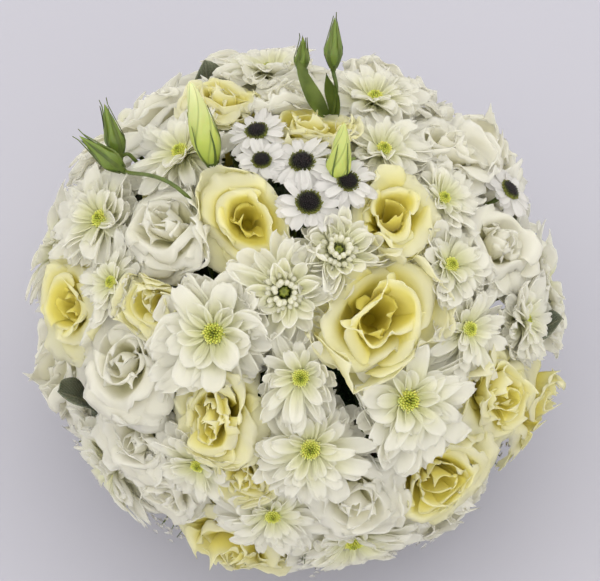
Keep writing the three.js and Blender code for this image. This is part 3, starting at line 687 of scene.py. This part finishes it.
MUM_EYE = floret_finish("mum_eye", [
    (0.0, (0.10, 0.125, 0.01)), (0.3, (0.48, 0.53, 0.05)),
    (0.75, (0.78, 0.80, 0.18)), (1.0, (0.90, 0.90, 0.46)),
])
DAISY_EYE = floret_finish("daisy_eye", [
    (0.0, (0.012, 0.006, 0.008)), (0.66, (0.007, 0.004, 0.005)), (0.8, (0.05, 0.06, 0.006)),
    (1.0, (0.22, 0.24, 0.03)),
])
EYES = {"mum": MUM_EYE, "daisy": DAISY_EYE}
GREEN = stem_finish()
BUD = bud_finish()
LEAF = leaf_finish("leaf", (0.11, 0.13, 0.085), (0.20, 0.225, 0.15), (0.40, 0.42, 0.30))
DARK_LEAF = leaf_finish("dark_leaf", (0.014, 0.03, 0.012), (0.035, 0.06, 0.02), (0.10, 0.14, 0.05), 0.4)


# ---------- chrysanthemums and daisies ----------
# A whorl: petals, foot out (share of radius), foot up (mm), length and width (shares), rise and bend
# (degrees), cup.
MUM_WHORLS = [
    (19, 0.10, 0.0, 1.30, 0.36, 4, -20, 0.12),
    (18, 0.10, 1.5, 1.16, 0.35, 12, -25, 0.14),
    (17, 0.11, 2.8, 0.98, 0.33, 21, -30, 0.16),
    (15, 0.12, 4.0, 0.76, 0.29, 31, -34, 0.20),
    (11, 0.14, 5.0, 0.48, 0.22, 40, -24, 0.28),
]
TIGHT_WHORLS = [
    (14, 0.12, 0.0, 1.24, 0.37, 7, 2, 0.24),
    (13, 0.14, 1.4, 1.04, 0.34, 15, 8, 0.30),
    (13, 0.16, 2.6, 0.70, 0.26, 25, 16, 0.36),
]
# The closed florets of a tight head: how many, out and up their feet are, and their lean (degrees).
FLORET_RINGS = [(22, 0.29, 2.8, 62), (18, 0.22, 4.4, 44), (13, 0.145, 5.6, 20)]
DAISY_WHORLS = [
    (13, 0.12, 0.0, 0.98, 0.36, 5, -10, 0.06),
    (12, 0.14, 0.7, 0.90, 0.33, 10, -14, 0.08),
]
REACHES = (-8.0, -6.0, -4.0, -2.0, -1.0, 0.0, 0.0, 1.0)  # the stops that straps have, against their walls
WIDEST = 0.66  # the share of its length where a strap is widest
# The dome of an eye: how wide (share of radius), how high its edge (mm), how much higher its middle (share),
# how many florets, and their size (share).
EYE_DOMES = {"mum": (0.17, 6.0, 0.10, 70, 0.024), "daisy": (0.40, 1.2, 0.11, 150, 0.045)}


def strap_petal(bm, head, angle, whorl, chance, tints):
    """One long petal with a narrow foot and a round, slightly notched tip, bending as it goes out."""
    _, foot, foot_up, length, width, rise, bend, cup = whorl
    radius = head.radius
    length *= radius * chance.uniform(0.8, 1.12)
    width *= radius * chance.uniform(0.8, 1.16)
    loose = min(1.0, whorl[3] / 0.9) * (0.4 if head.kind == "daisy" else 1.0)
    start = math.radians(rise + chance.gauss(0, 10) * loose)
    curve = math.radians(bend + chance.gauss(0, 22) * loose) or 0.01
    twist = chance.gauss(0, 0.45) * loose
    sway = chance.uniform(-0.11, 0.11) * length
    cup *= chance.uniform(0.4, 1.4)
    notch = chance.uniform(0.0, 0.12)
    ease = chance.choice(REACHES)
    out, back = head.out(angle), head.facing.cross(head.out(angle))
    near, far = tints  # near the eye and at the tip
    tip = head.at(angle, foot * radius + length * math.cos(start), foot_up + length * math.sin(start))
    if head.kind != "daisy":
        length *= max(0.6, 1 - max(0, head.cell.past(tip) + ease) / length)

    def place(across, along):
        share = 2 * across - 1
        t = along * (1.35 - 0.35 * along) * (1 - notch * (1 - abs(share)) * along ** 4)
        slope = start + curve * t
        reach = (math.sin(slope) - math.sin(start)) / curve * length
        climb = (math.cos(start) - math.cos(slope)) / curve * length
        spread = 0.36 + 0.64 * swelling(t / WIDEST)
        if t > WIDEST:
            spread *= max(0.08, 1 - ((t - WIDEST) / 0.34) ** 2.4) ** 0.5
        normal = head.facing * math.cos(slope) - out * math.sin(slope)
        turn = twist * t
        flat = normal * math.sin(turn) - back * math.cos(turn)
        lift = cup * width * share * share * (0.4 + spread) - 0.02 * width * math.cos(3 * math.pi * share)
        point = head.heart + out * (foot * radius + reach) + head.facing * (foot_up + climb)
        point += flat * (share * width * spread / 2 + sway * t * t) + normal * lift
        return head.settle(point, ease, 3.0), near + (far - near) * t

    sheet(bm, 6, 8, place, mark=chance.random())


def head_petals(bm, head, whorls, chance, tight=False):
    """All the whorls of a chrysanthemum or a daisy. The tints make a tight one's petals greener inside."""
    broad = chance.uniform(0.85, 1.2)
    for order, whorl in enumerate(whorls):
        count = whorl[0]
        shift = chance.uniform(0, FULL_TURN / count)
        inner = order / max(len(whorls) - 1, 1)
        tints = (0.8, 0.25 * inner ** 2) if not tight else (0.85, 0.05 + 0.2 * inner)
        if head.kind == "daisy":
            tints = (0.8, 0.0)
        for petal in range(count):
            angle = shift + (petal + chance.uniform(-0.45, 0.45)) * FULL_TURN / count
            strap_petal(bm, head, angle, (*whorl[:4], whorl[4] * broad, *whorl[5:]), chance, tints)


def closed_florets(bm, head, chance):
    """The round, still closed florets round the middle of a tight chrysanthemum."""
    for count, out, up, lean in FLORET_RINGS:
        for i in range(count):
            angle = (i + chance.uniform(-0.3, 0.3)) * FULL_TURN / count
            foot = head.at(angle, out * head.radius, up)
            slope = math.radians(lean + chance.uniform(-12, 12))
            way = head.facing * math.cos(slope) + head.out(angle) * math.sin(slope)
            side = way.orthogonal().normalized()
            long, wide = 6.4 * chance.uniform(0.8, 1.15), 1.75 * chance.uniform(0.85, 1.15)

            def place(across, along, foot=foot, way=way, side=side, long=long, wide=wide):
                around = FULL_TURN * across
                swell = wide * math.sin(math.pi * along ** 1.25) ** 0.75 if 0 < along < 1 else 0.0
                flat = side * math.cos(around) + way.cross(side) * math.sin(around)
                return foot + way * (long * along) + flat * swell, 0.78 - 0.5 * along

            sheet(bm, 8, 7, place, mark=chance.random(), closed=True)


def eye(bm, head, chance, finish, tight=False):
    """The dome of florets in the middle of a chrysanthemum or a daisy, a green knob in a tight one."""
    radius = head.radius
    if tight:
        knob = [(0, 3, 0), (0.09 * radius, 4, 0), (0.1 * radius, 6.6, 0), (0.05 * radius, 7.8, 0.1),
                (0, 6.2, 0)]
        turned(bm, head, knob, columns=28, finish=finish, lobes=0.2, count=7)
        return
    width, low, high, count, size = EYE_DOMES[head.kind]
    width, high, size = width * radius, high * radius, size * radius
    tint = bm.verts.layers.float["tint"]
    for i in range(count):
        share = math.sqrt((i + 0.5) / count)
        angle = i * GOLDEN_TURN
        rise = high * (1 - share ** 2)
        base = head.at(angle, width * share, low + rise)
        way = (head.facing + head.out(angle + chance.uniform(-0.6, 0.6)) * (0.55 * share)).normalized()
        tall = size * chance.uniform(1.4, 3.6)
        made = bmesh.ops.create_cone(bm, cap_ends=True, segments=5, radius1=size, radius2=size * 0.45,
                                     depth=tall, matrix=standing(base + way * (tall / 4), way))["verts"]
        for vert in made:
            vert[tint] = share
        give_finish(made, finish)
    turned(bm, head, [(0, low - 2.5, 0), (width, low - 1.5, 1), (width, low, 1),
                      (width * 0.6, low + high * 0.6, 0.6), (0, low + high * 0.8, 0)], finish=finish)


# ---------- lisianthus ----------
# A whorl: petals, half width, foot, waist and brim (out), top (up), roll of the brim (all shares of radius),
# how much flatter than a ring it is, wave, throat tint.
OPEN_CUP = [
    (5, 0.90, 0.10, 0.60, 1.30, 0.46, 0.20, 1.4, 1.3, 0.00),
    (4, 0.84, 0.09, 0.50, 0.90, 0.68, 0.14, 1.2, 1.5, 0.04),
    (3, 0.76, 0.08, 0.38, 0.52, 0.84, 0.04, 1.1, 1.4, 0.12),
    (2, 0.44, 0.06, 0.22, 0.24, 0.66, 0.00, 1.8, 1.8, 0.42),
]
FURLED_CUP = [
    (5, 0.84, 0.10, 0.60, 1.26, 0.50, 0.24, 1.4, 1.5, 0.00),
    (4, 0.80, 0.09, 0.54, 0.92, 0.70, 0.18, 1.3, 1.7, 0.00),
    (4, 0.66, 0.08, 0.44, 0.60, 0.86, 0.10, 1.3, 1.9, 0.04),
    (3, 0.50, 0.07, 0.30, 0.34, 0.92, 0.04, 1.6, 2.0, 0.10),
    (2, 0.34, 0.05, 0.18, 0.12, 0.86, 0.00, 1.4, 1.6, 0.25),
]
BLOUSE_CUP = [
    (5, 0.96, 0.10, 0.62, 1.34, 0.40, 0.22, 1.2, 1.4, 0.00),
    (4, 0.98, 0.10, 0.60, 1.06, 0.56, 0.24, 1.2, 1.7, 0.00),
    (3, 0.96, 0.08, 0.50, 0.70, 0.70, 0.20, 1.2, 2.0, 0.00),
    (3, 0.66, 0.07, 0.32, 0.34, 0.76, 0.10, 1.5, 2.2, 0.02),
    (2, 0.46, 0.05, 0.20, 0.14, 0.74, 0.04, 1.8, 2.0, 0.08),
]
FULL_ONES = ("yellow_lisianthus_behind_daisies", "yellow_lisianthus_top_left", "yellow_lisianthus_left",
             "yellow_lisianthus_deep_front")
OPEN_ONES = ("yellow_lisianthus_centre", "yellow_lisianthus_large", "yellow_lisianthus_upper_right",
             "yellow_lisianthus_rim_back_pair", "yellow_lisianthus_rim_left")


class Cup:
    """How one lisianthus is out of true: oval, one side taller, its throat to one side."""

    def __init__(self, chance):
        self.oval, self.oval_way = chance.uniform(0.08, 0.24), chance.uniform(0, math.pi)
        self.tall, self.tall_way = chance.uniform(0.12, 0.38), chance.uniform(0, FULL_TURN)
        self.slide = Vector((chance.uniform(-0.2, 0.2), chance.uniform(-0.2, 0.2)))

    def shape(self, head, angle, out, side, up):
        """A point of a petal at angle, by how far it is out, to the side and up."""
        way = angle - math.atan2(side, max(out, 0.01))
        far = math.hypot(out, side) * (1 + self.oval * math.cos(2 * (way - self.oval_way)))
        up *= 1 + self.tall * math.cos(way - self.tall_way) * min(up / head.radius, 1)
        slid = self.slide * max(0.0, up - 0.3 * head.radius) * 1.2
        return head.at(way, far, up) + head.side * slid.x + head.round * slid.y


def silk_petal(bm, head, angle, whorl, cup, chance):
    """One broad petal: it wraps round the throat at its foot, flattens, and rolls its wavy brim outwards."""
    _, half, foot, waist, brim, top, roll, flat, wave, throat = whorl
    radius = head.radius
    half *= radius * chance.uniform(0.88, 1.14)
    foot *= radius
    waist *= radius * chance.uniform(0.88, 1.1)
    brim *= radius * chance.uniform(0.86, 1.1)
    top *= radius * chance.uniform(0.84, 1.1)
    roll *= radius * chance.uniform(0.2, 1.8)
    skew = chance.uniform(0.03, 0.13) * radius
    slow, quick, fine, edge = (chance.uniform(0, FULL_TURN) for _ in range(4))  # where its waves start
    pitch = chance.uniform(1.6, 2.8)
    flat *= chance.uniform(0.5, 1.5)
    ease = chance.uniform(-4.5, 1.0)

    def place(across, along):
        share = 2 * across - 1
        ragged = 0.06 * math.sin(6 * share + quick) + 0.035 * math.sin(16 * share + fine)
        t = along * (1 - 0.2 * abs(share) ** 2.6 + ragged * along ** 3)
        out = foot + (waist - foot) * swelling(t / 0.5)
        out += (brim - waist) * max(0, (t - 0.35) / 0.65) ** 1.7
        up = top * swelling(t * 1.12) ** 0.92
        up -= roll * max(0, (t - 0.6) / 0.4) ** 2 + 0.06 * radius * abs(share) ** 3 * t ** 3
        bend = out * (1 + flat * t * t)
        turn = share * half * (0.3 + 0.7 * swelling(t / 0.8)) / bend
        turn = max(-2.6, min(2.6, turn))
        point = cup.shape(head, angle, out - bend * (1 - math.cos(turn)) + skew * share * t,
                          bend * math.sin(turn), up)
        point = head.settle(point, ease, 4.0)
        sway = 0.10 * t ** 2 * math.sin(pitch * share + slow)
        sway += 0.065 * t ** 4 * math.sin(6.5 * share + quick)
        sway += 0.035 * t ** 7 * math.sin(16 * share + fine)
        sway += 0.055 * abs(share) ** 3 * t * math.sin(9 * t + edge)
        point += (head.facing * 0.7 - head.out(angle - turn) * 0.7) * (sway * wave * radius)
        return point, throat + (1 - throat) * max(1 - t, 0) ** 1.25 - 0.02

    sheet(bm, 24, 13, place, mark=chance.random())


def lisianthus(bm, head, whorls, chance):
    """All the whorls of a lisianthus, and the small knob deep in its throat."""
    cup = Cup(chance)
    for whorl in whorls:
        count = whorl[0]
        shift = chance.uniform(0, FULL_TURN)
        for petal in range(count):
            angle = shift + (petal + chance.uniform(-0.16, 0.16)) * FULL_TURN / count
            silk_petal(bm, head, angle, whorl, cup, chance)
    wide = 0.16 * head.radius
    turned(bm, head, [(0, 0.6, 1), (wide * 0.6, 0.6, 1), (wide, 2.4, 0.9), (wide * 0.9, 2.8, 0.9),
                      (0, 1.6, 1)])


# ---------- stems, calyxes and buds ----------
def sepal(bm, head, angle, start, reach, width):
    """One narrow green blade from start to reach, each (out, up), a little hollow."""
    (out_0, up_0), (out_1, up_1) = start, reach
    back = head.facing.cross(head.out(angle))
    slope = math.atan2(up_1 - up_0, out_1 - out_0)
    normal = head.facing * math.cos(slope) - head.out(angle) * math.sin(slope)

    def place(across, along):
        share = 2 * across - 1
        spread = math.sin(math.pi * min(along + 0.22, 1)) ** 0.7 if along < 1 else 0.0
        bow = math.sin(math.pi * along) * -0.06 * (up_1 - up_0)
        point = head.at(angle, out_0 + (out_1 - out_0) * along + bow, up_0 + (up_1 - up_0) * along)
        point += back * (-share * width * spread / 2) + normal * (0.25 * width * share * share)
        return point, 0.3

    sheet(bm, 2, 7, place)


def calyx(bm, head):
    """The green cup under a head."""
    if head.kind == "lisianthus":
        turned(bm, head, [(0, -12, 0), (1.7, -11.6, 0), (2.6, -8, 0), (3.6, -3, 0), (4.2, -0.6, 0),
                          (0, -0.4, 0)], lobes=0.08)
        for i in range(5):
            angle = i * FULL_TURN / 5
            sepal(bm, head, angle, (3.4, -4), (0.5 * head.radius, 0.16 * head.radius), 2.6)
        return
    wide = 4.6 if head.kind == "mum" else 3.6
    deep = -10 if head.kind == "mum" else -7
    turned(bm, head, [(0, deep, 0), (1.6, deep + 0.4, 0), (wide * 0.6, deep * 0.6, 0), (wide, -2.2, 0),
                      (wide * 1.05, -0.7, 0), (0, -0.5, 0)], lobes=0.05, count=9)


def side_stem(bm, cell, tip, fork, joint):
    """A curved stem from a calyx's foot, down along its cell, to the joint on the main stem."""
    reach = (fork - CELL_ROOT).length
    leave = CELL_ROOT + cell.axis * (reach + 2)
    arrive = joint + (fork - joint) * 0.4 + (leave - fork) * 0.25
    rod(bm, smooth_path(tip, leave, arrive, joint, 12), SIDE_STEM)


def bud_sepal(bm, head, angle, swell, length, tall, open_out, wide):
    """A narrow sepal that lies on a bud and stands off it towards its own tip."""
    back = head.facing.cross(head.out(angle))

    def place(across, along):
        share = 2 * across - 1
        up = tall * along - 0.5
        out = swell(min(max(up / length, 0.02), 1)) * 1.06 + 0.35 + open_out * along ** 3
        spread = (wide * (1 - along) ** 0.8 + 0.4) * (along < 1)
        hollow = head.out(angle) * (0.5 * share ** 2)
        return head.at(angle, out, up) + back * (-share * spread / 2) - hollow, 0.3

    sheet(bm, 2, 9, place)


# A bud's look: tints of its foot and tip, how quickly it tapers, its sepals' length (share), width (mm) and
# how far they stand off (mm).
BUD_LOOKS = {
    "dark": (0.10, 0.34, 0.90, (0.92, 1.12), 2.4, (1.2, 3.2)),
    "leafy": (0.10, 0.30, 0.90, (0.95, 1.15), 2.4, (0.6, 2.2)),
    "lime": (0.60, 0.76, 0.60, (0.45, 0.75), 1.2, (0.0, 0.4)),
    "pale": (0.40, 1.0, 0.52, (0.36, 0.7), 1.6, (0.2, 1.6)),
}


class BudPlace(Head):
    """A bud's place: it stands clear of the flowers and leans its own way."""

    def __init__(self, plan):
        turn, tilt, offset, lean, self.length, radius, self.look = plan
        super().__init__(Cell(f"bud_{turn}_{tilt}", turn, tilt, radius), "daisy")
        self.facing = Vector(lean).normalized()
        self.side = Vector((0, 1, 0)).cross(self.facing).normalized()
        self.round = self.facing.cross(self.side)
        self.heart = self.cell.face + Vector(offset)


def bud(bm, head, fork, joint, chance):
    """A furled bud with its sepals, its foot and its stem, and two small leaves where it has them."""
    radius, length = head.radius, head.length
    foot_tint, tip_tint, blunt, tall, wide, stand = BUD_LOOKS[head.look]
    turns = chance.uniform(0.9, 1.3)

    def swell(along):
        low = swelling(along / 0.32) ** 0.7
        high = max(0.0, 1 - max(0, along - 0.32) / 0.68)
        return radius * (0.34 + 0.86 * low) * high ** blunt * (along > 0)

    def place(across, along):
        angle = FULL_TURN * across
        fold = 1 + 0.09 * math.cos(5 * angle + turns * 5 * along) * math.sin(math.pi * along)
        tint = foot_tint + (tip_tint - foot_tint) * along
        return head.at(-angle + turns * along, swell(along) * fold, length * along), tint

    sheet(bm, 30, 22, place, closed=True, finish=1)
    for i in range(5):
        angle = i * FULL_TURN / 5 + 0.4
        bud_sepal(bm, head, angle, swell, length, length * chance.uniform(*tall), chance.uniform(*stand),
                  wide)
    turned(bm, head, [(0, -3, 0), (1.4, -2.8, 0), (radius * 0.45, 0, 0), (radius * 0.62, 2.2, 0),
                      (0, 2.6, 0)], lobes=0.1)
    cell = head.cell
    leave = cell.face + cell.axis
    into = CELL_ROOT + cell.axis * ((fork - CELL_ROOT).length + 8)
    bow = (leave - head.heart).length
    above = smooth_path(head.at(0, 0, -1), head.at(0, 0, -min(8.0, bow / 3)),
                        leave + cell.axis * (bow * 0.75), leave, 12)
    below = smooth_path(leave, leave.lerp(into, 0.5), into, joint, 12)
    rod(bm, above + below[1:], BUD_STEM)
    if head.look == "leafy":
        start = head.at(0, 0, -34)
        for hand, reach in ((-1, 42), (1, 30)):
            way = (head.facing - head.side * 0.32 + head.side * (0.2 * hand)).normalized()
            outward = head.side * hand

            def rib(part, way=way, outward=outward, reach=reach):
                return start + way * (reach * part) + outward * (3.5 * math.sin(math.pi * part ** 0.8))

            leaf(bm, rib, (head.side * 0.9 - head.round * hand).normalized(), 12, chance, columns=4, rows=10)


# ---------- leaves ----------
def leaf(bm, path, side, width, chance, columns=8, rows=14):
    """A leaf along path(0 to 1), its width along side, folded up along the rib and waved at its edges."""
    fold, wave = 0.14 * width, 0.05 * width
    phase = chance.uniform(0, 6.28)
    rib = (path(1) - path(0)).normalized()
    normal = side.cross(rib).normalized()

    def place(across, along):
        share = 2 * across - 1
        spread = math.sin(math.pi * along ** 0.85) ** 0.75 if 0 < along < 1 else 0.0
        lift = fold * abs(share) * spread
        lift += wave * share * share * math.sin(9 * along + phase + share)
        return path(along) + side * (share * width * spread / 2) + normal * lift, 0.0

    sheet(bm, columns, rows, place, mark=chance.random())


def leafy_stem(name, turn, raised, chance):
    """Two leaves that droop over the bowl's rim, and one raised among the flowers."""
    bm = new_mesh()
    over_rim, length, droop, width = 72, 66, 22, 27
    foot, tip = level(turn, 50, over_rim), level(turn, 84, over_rim)
    root = level(turn, 82, over_rim + 1)
    for spread in (-38, 38):
        way = direction(turn + spread, 90)
        leaf(bm, lambda part, way=way: root + way * (length * part) - UP * (droop * part ** 2),
             way.cross(UP), width, chance)
    cell = Cell(name, *raised)
    side = UP.cross(cell.axis).normalized()
    climb = cell.axis.cross(side)
    base = cell.face - cell.axis * 16 - climb * cell.radius
    rise = (climb + cell.axis * 1.2).normalized()
    leaf(bm, lambda part: base + rise * (34 * part), -side, 26, chance)
    finish_piece(f"{name}_blades", bm, [LEAF], [name], wall=LEAF_WALL)
    bm = new_mesh()
    rod(bm, [foot, (foot + tip) / 2, tip], MAIN_STEM)
    stalk = smooth_path(base + rise * 3, base - climb * 6 - cell.axis * 8, tip + UP * 20, tip, 12)
    rod(bm, stalk, LEAF_STALK)
    finish_piece(f"{name}_stalks", bm, [GREEN], [name])


def gap_leaves(name, first, chance):
    """Dark leaves low between the flowers, under their calyxes: every second one, from the first on."""
    bm = new_mesh()
    count = 96
    for i in range(first, count, 2):
        drop = 1 - 1.22 * (i + 0.5) / count  # from the top to a little under the widest place
        way = direction(math.degrees(i * GOLDEN_TURN), math.degrees(math.acos(drop)))
        side = way.orthogonal().normalized()
        side = Matrix.Rotation(chance.uniform(0, 6.28), 3, way) @ side
        lean = way.cross(side)
        root = CELL_ROOT + way * chance.uniform(66, 78)
        tip = CELL_ROOT + way * chance.uniform(100, 112) + lean * chance.uniform(18, 30)
        leaf(bm, arch(root, tip, way, 7), side, chance.uniform(20, 28), chance, columns=4, rows=8)
    finish_piece(name, bm, [DARK_LEAF], wall=LOW_LEAF_WALL)


def leaf_tufts(chance):
    """Grey-green leaves in the wider hollows."""
    bm = new_mesh()
    for turn, tilt in HOLLOWS:
        way = direction(turn, tilt)
        side = UP.cross(way).normalized()
        face = dome_face(turn, tilt)
        for i in range(6):
            angle = i * math.pi / 3 + chance.uniform(-0.4, 0.4)
            lean = side * math.cos(angle) + way.cross(side) * math.sin(angle)
            root = face - way * 34
            tip = face - way * chance.uniform(5, 10) + lean * chance.uniform(9, 17)
            rib = arch(root, tip, way, 5)
            leaf(bm, rib, way.cross(lean), chance.uniform(13, 17), chance, columns=4, rows=9)
    finish_piece("leaf_tufts", bm, [LEAF], wall=LOW_LEAF_WALL)


def filler(chance):
    """Fine white filler that peeps out low round the rim."""
    bm = new_mesh()
    upside_down = Matrix.Rotation(math.pi, 4, "X")
    for turn, tilt in FILLER_SPRIGS:
        root = CELL_ROOT + direction(turn, tilt) * 96
        for _ in range(7):
            way = direction(turn + chance.uniform(-9, 9), tilt + chance.uniform(-5, 3))
            tip = CELL_ROOT + way * chance.uniform(140, 149)
            sprig = smooth_path(root, root.lerp(tip, 0.4), root.lerp(tip, 0.7) + UP * 2, tip, 5)
            rod(bm, sprig, SPRIG, sides=4)
            for _ in range(3):
                bloom = tip + Vector([chance.uniform(-3.5, 3.5) for _ in range(3)])
                made = bmesh.ops.create_cone(bm, cap_ends=True, segments=10, radius1=2.0, radius2=1.0,
                                             depth=1.2, matrix=standing(bloom, way) @ upside_down)["verts"]
                for vert in made[1::2]:  # every second point, so that the small bloom has five lobes
                    vert.co = vert.co.lerp(bloom, 0.45)
                give_finish(made, 1)
    finish_piece("rim_filler", bm, [GREEN, DAISY_PETAL])


# ---------- bowl and foam ----------
def bowl_side(height):
    """The radius of the bowl's outer face at a height."""
    return BOWL_FOOT + (BOWL_BRIM - BOWL_FOOT) * swelling(height / BOWL_HEIGHT) ** 0.8


def bowl():
    """The bowl, from the middle of its foot out, up, over its round brim and down its inside."""
    heights = [BOWL_HEIGHT * (i / 22) ** 1.3 for i in range(1, 22)]
    top = BOWL_HEIGHT - 3
    outside = [(0, 0), (BOWL_FOOT - 2.5, 0), (BOWL_FOOT - 0.7, 0.3)]
    outside += [(bowl_side(height), height) for height in heights if height < top]
    lip = BOWL_WALL / 2
    brim = [(BOWL_BRIM - lip + lip * math.cos(angle), BOWL_HEIGHT - lip + lip * math.sin(angle))
            for angle in (math.pi * i / 8 for i in range(9))]
    inside = [(bowl_side(height) - BOWL_WALL, height)
              for height in reversed(heights) if BOWL_FLOOR + 0.5 < height < top]
    bottom = [(bowl_side(BOWL_FLOOR) - 7, BOWL_FLOOR), (0, BOWL_FLOOR)]
    bm = lathe(outside + brim + inside + bottom, 96)
    finish_piece("bowl_glazed", bm, [glaze_finish()], ["bowl"])


def foam():
    """The block fills the bowl and stands straight up to sloping shoulders, roughly cut above the bowl."""
    bottom = BOWL_FLOOR + 0.4
    side = [(min(bowl_side(height) - FOAM_FIT, FOAM_RADIUS), height)
            for height in (bottom, 9, 12, 18, 26, 34, 42, 52, BOWL_HEIGHT)]
    side += [(FOAM_RADIUS, height) for height in (76, 86, 96, 104)]
    shoulders = [(74, 107), (66, 114), (60, 119.6), (57, FOAM_TOP)]
    top = [(out, FOAM_TOP) for out in (40, 20, 0)]
    bm = lathe([(0, bottom)] + side + shoulders + top, 96)
    for vert in bm.verts:
        rough = noise.noise(vert.co * 0.35) * 0.5
        if vert.co.z > BOWL_HEIGHT + 4:
            vert.co += Vector((vert.co.x, vert.co.y, 0)).normalized() * (rough - 0.4)
            vert.co.z += min(rough, 0)
    finish_piece("foam_block", bm, [foam_finish()], ["foam"])


# ---------- putting it together ----------
def arrange():
    """Every spray with its heads and buds in their places, and the walls between all the cells."""
    sprays = []
    cells = []
    for stems, kind, colour, fork, foot, heads, buds in SPRAYS:
        placed = [(node, Head(Cell(node, turn, tilt, radius), kind, lean))
                  for node, turn, tilt, radius, lean in heads]
        buds = [BudPlace(plan) for plan in buds]
        cells += [head.cell for _, head in placed] + [bud.cell for bud in buds]
        sprays.append((stems, kind, colour, CELL_ROOT + direction(fork[0], fork[1]) * fork[2],
                       level(*foot), placed, buds))
    cells += [Cell(name, *raised) for name, _, raised in LEAFY_STEMS] + [Cell("gap", *gap) for gap in GAPS]
    for cell in cells:
        for other in cells:
            near = 0.1 if other.node == "gap" else 0.6  # in radians
            if other is not cell and cell.axis.angle(other.axis) < cell.width + other.width + near:
                cell.wall_to(other)
        cell.walls.append((direction(cell.turn, SKIRT_DROP), SKIRT_CLEAR))
    return sprays


def make_spray(stems, kind, colour, fork, foot, placed, buds, chance):
    """The petals of a spray, a piece for each node of them, and then all that is green on it."""
    blooms = {}
    for node, head in placed:
        bm = blooms.setdefault(node, new_mesh())
        if kind == "lisianthus":
            closed = BLOUSE_CUP if colour == "white" or node in FULL_ONES else FURLED_CUP
            lisianthus(bm, head, OPEN_CUP if node in OPEN_ONES else closed, chance)
        elif kind == "daisy":
            head_petals(bm, head, DAISY_WHORLS, chance)
        else:
            tight = node.startswith("green")
            head_petals(bm, head, TIGHT_WHORLS if tight else MUM_WHORLS, chance, tight)
            if tight:
                closed_florets(bm, head, chance)
    finish = PETALS[colour if kind == "lisianthus" else kind]
    for node, bm in blooms.items():
        finish_piece(f"{node}_petals", bm, [finish], [node], wall=PETAL_WALL)

    bm = new_mesh()
    rod(bm, [foot, foot.lerp(fork, 0.35), foot.lerp(fork, 0.7), fork], MAIN_STEM)
    down = (foot - fork).normalized()
    for order, (node, head) in enumerate(placed):
        joint = fork + down * (1 + FORK_STEP * order)
        calyx(bm, head)
        side_stem(bm, head.cell, head.at(0, 0, CALYX_FOOT[kind]), fork, joint)
        if kind != "lisianthus":
            eye(bm, head, chance, 1, node.startswith("green"))
    for order, place in enumerate(buds):
        bud(bm, place, fork, fork + down * (1 + FORK_STEP * (order + 0.5)), chance)
    finish_piece(f"{stems}_green", bm, [GREEN, EYES.get(kind, BUD), LEAF], [stems])


def studio():
    """A pale floor, an even sky and three large soft lights."""
    floor_mesh = bmesh.new()
    bmesh.ops.create_grid(floor_mesh, x_segments=2, y_segments=2, size=6)
    mesh = bpy.data.meshes.new("floor")
    floor_mesh.to_mesh(mesh)
    floor_mesh.free()
    mesh.materials.append(floor_finish())
    floor = bpy.data.objects.new("floor", mesh)
    scene.collection.objects.link(floor)

    world = bpy.data.worlds.new("studio")
    scene.world = world
    world.use_nodes = True
    sky = world.node_tree.nodes["Background"]
    sky.inputs["Color"].default_value = (*DAYLIGHT, 1)
    sky.inputs["Strength"].default_value = 1.21
    for name, place, size, power in (
        ("window", (-0.9, -0.8, 1.8), 1.8, 5),
        ("overhead", (0.6, 0.5, 1.9), 1.8, 3.5),
        ("front_fill", (0.7, -1.7, 1.0), 1.6, 3.5),
    ):
        data = bpy.data.lights.new(name, "AREA")
        data.size = size
        data.energy = power
        data.color = DAYLIGHT
        lamp = bpy.data.objects.new(name, data)
        lamp.location = place
        lamp.rotation_euler = (Vector((0, 0, 0.12)) - Vector(place)).to_track_quat("-Z", "Y").to_euler()
        scene.collection.objects.link(lamp)
    scene.view_settings.view_transform = "Standard"
    scene.view_settings.look = "None"


def camera():
    """Looks down on the front of the dome, at the photograph's angle."""
    rise = math.radians(CAMERA_RISE)
    back = Vector((0, -math.cos(rise), math.sin(rise)))
    across = Vector((1, 0, 0))
    upright = Vector((0, math.sin(rise), math.cos(rise)))
    target = (DOME_CENTRE + across * 1.6 + upright * 8.2) * MM
    data = bpy.data.cameras.new("camera")
    data.sensor_width = SENSOR_WIDTH
    data.lens = FOCAL_LENGTH / PHOTO_WIDTH * SENSOR_WIDTH
    eye_point = bpy.data.objects.new("camera", data)
    eye_point.location = target + back * CAMERA_AWAY
    eye_point.rotation_euler = (-back).to_track_quat("-Z", "Y").to_euler()
    scene.collection.objects.link(eye_point)
    scene.camera = eye_point


camera()
studio()
noise.seed_set(SEED)
chance = random.Random(SEED)
for spray in arrange():
    make_spray(*spray, chance)
for name, turn, raised in LEAFY_STEMS:
    leafy_stem(name, turn, raised, chance)
gap_leaves("gap_leaves_low", 0, chance)
gap_leaves("gap_leaves_high", 1, chance)
filler(chance)
leaf_tufts(chance)
bowl()
foam()
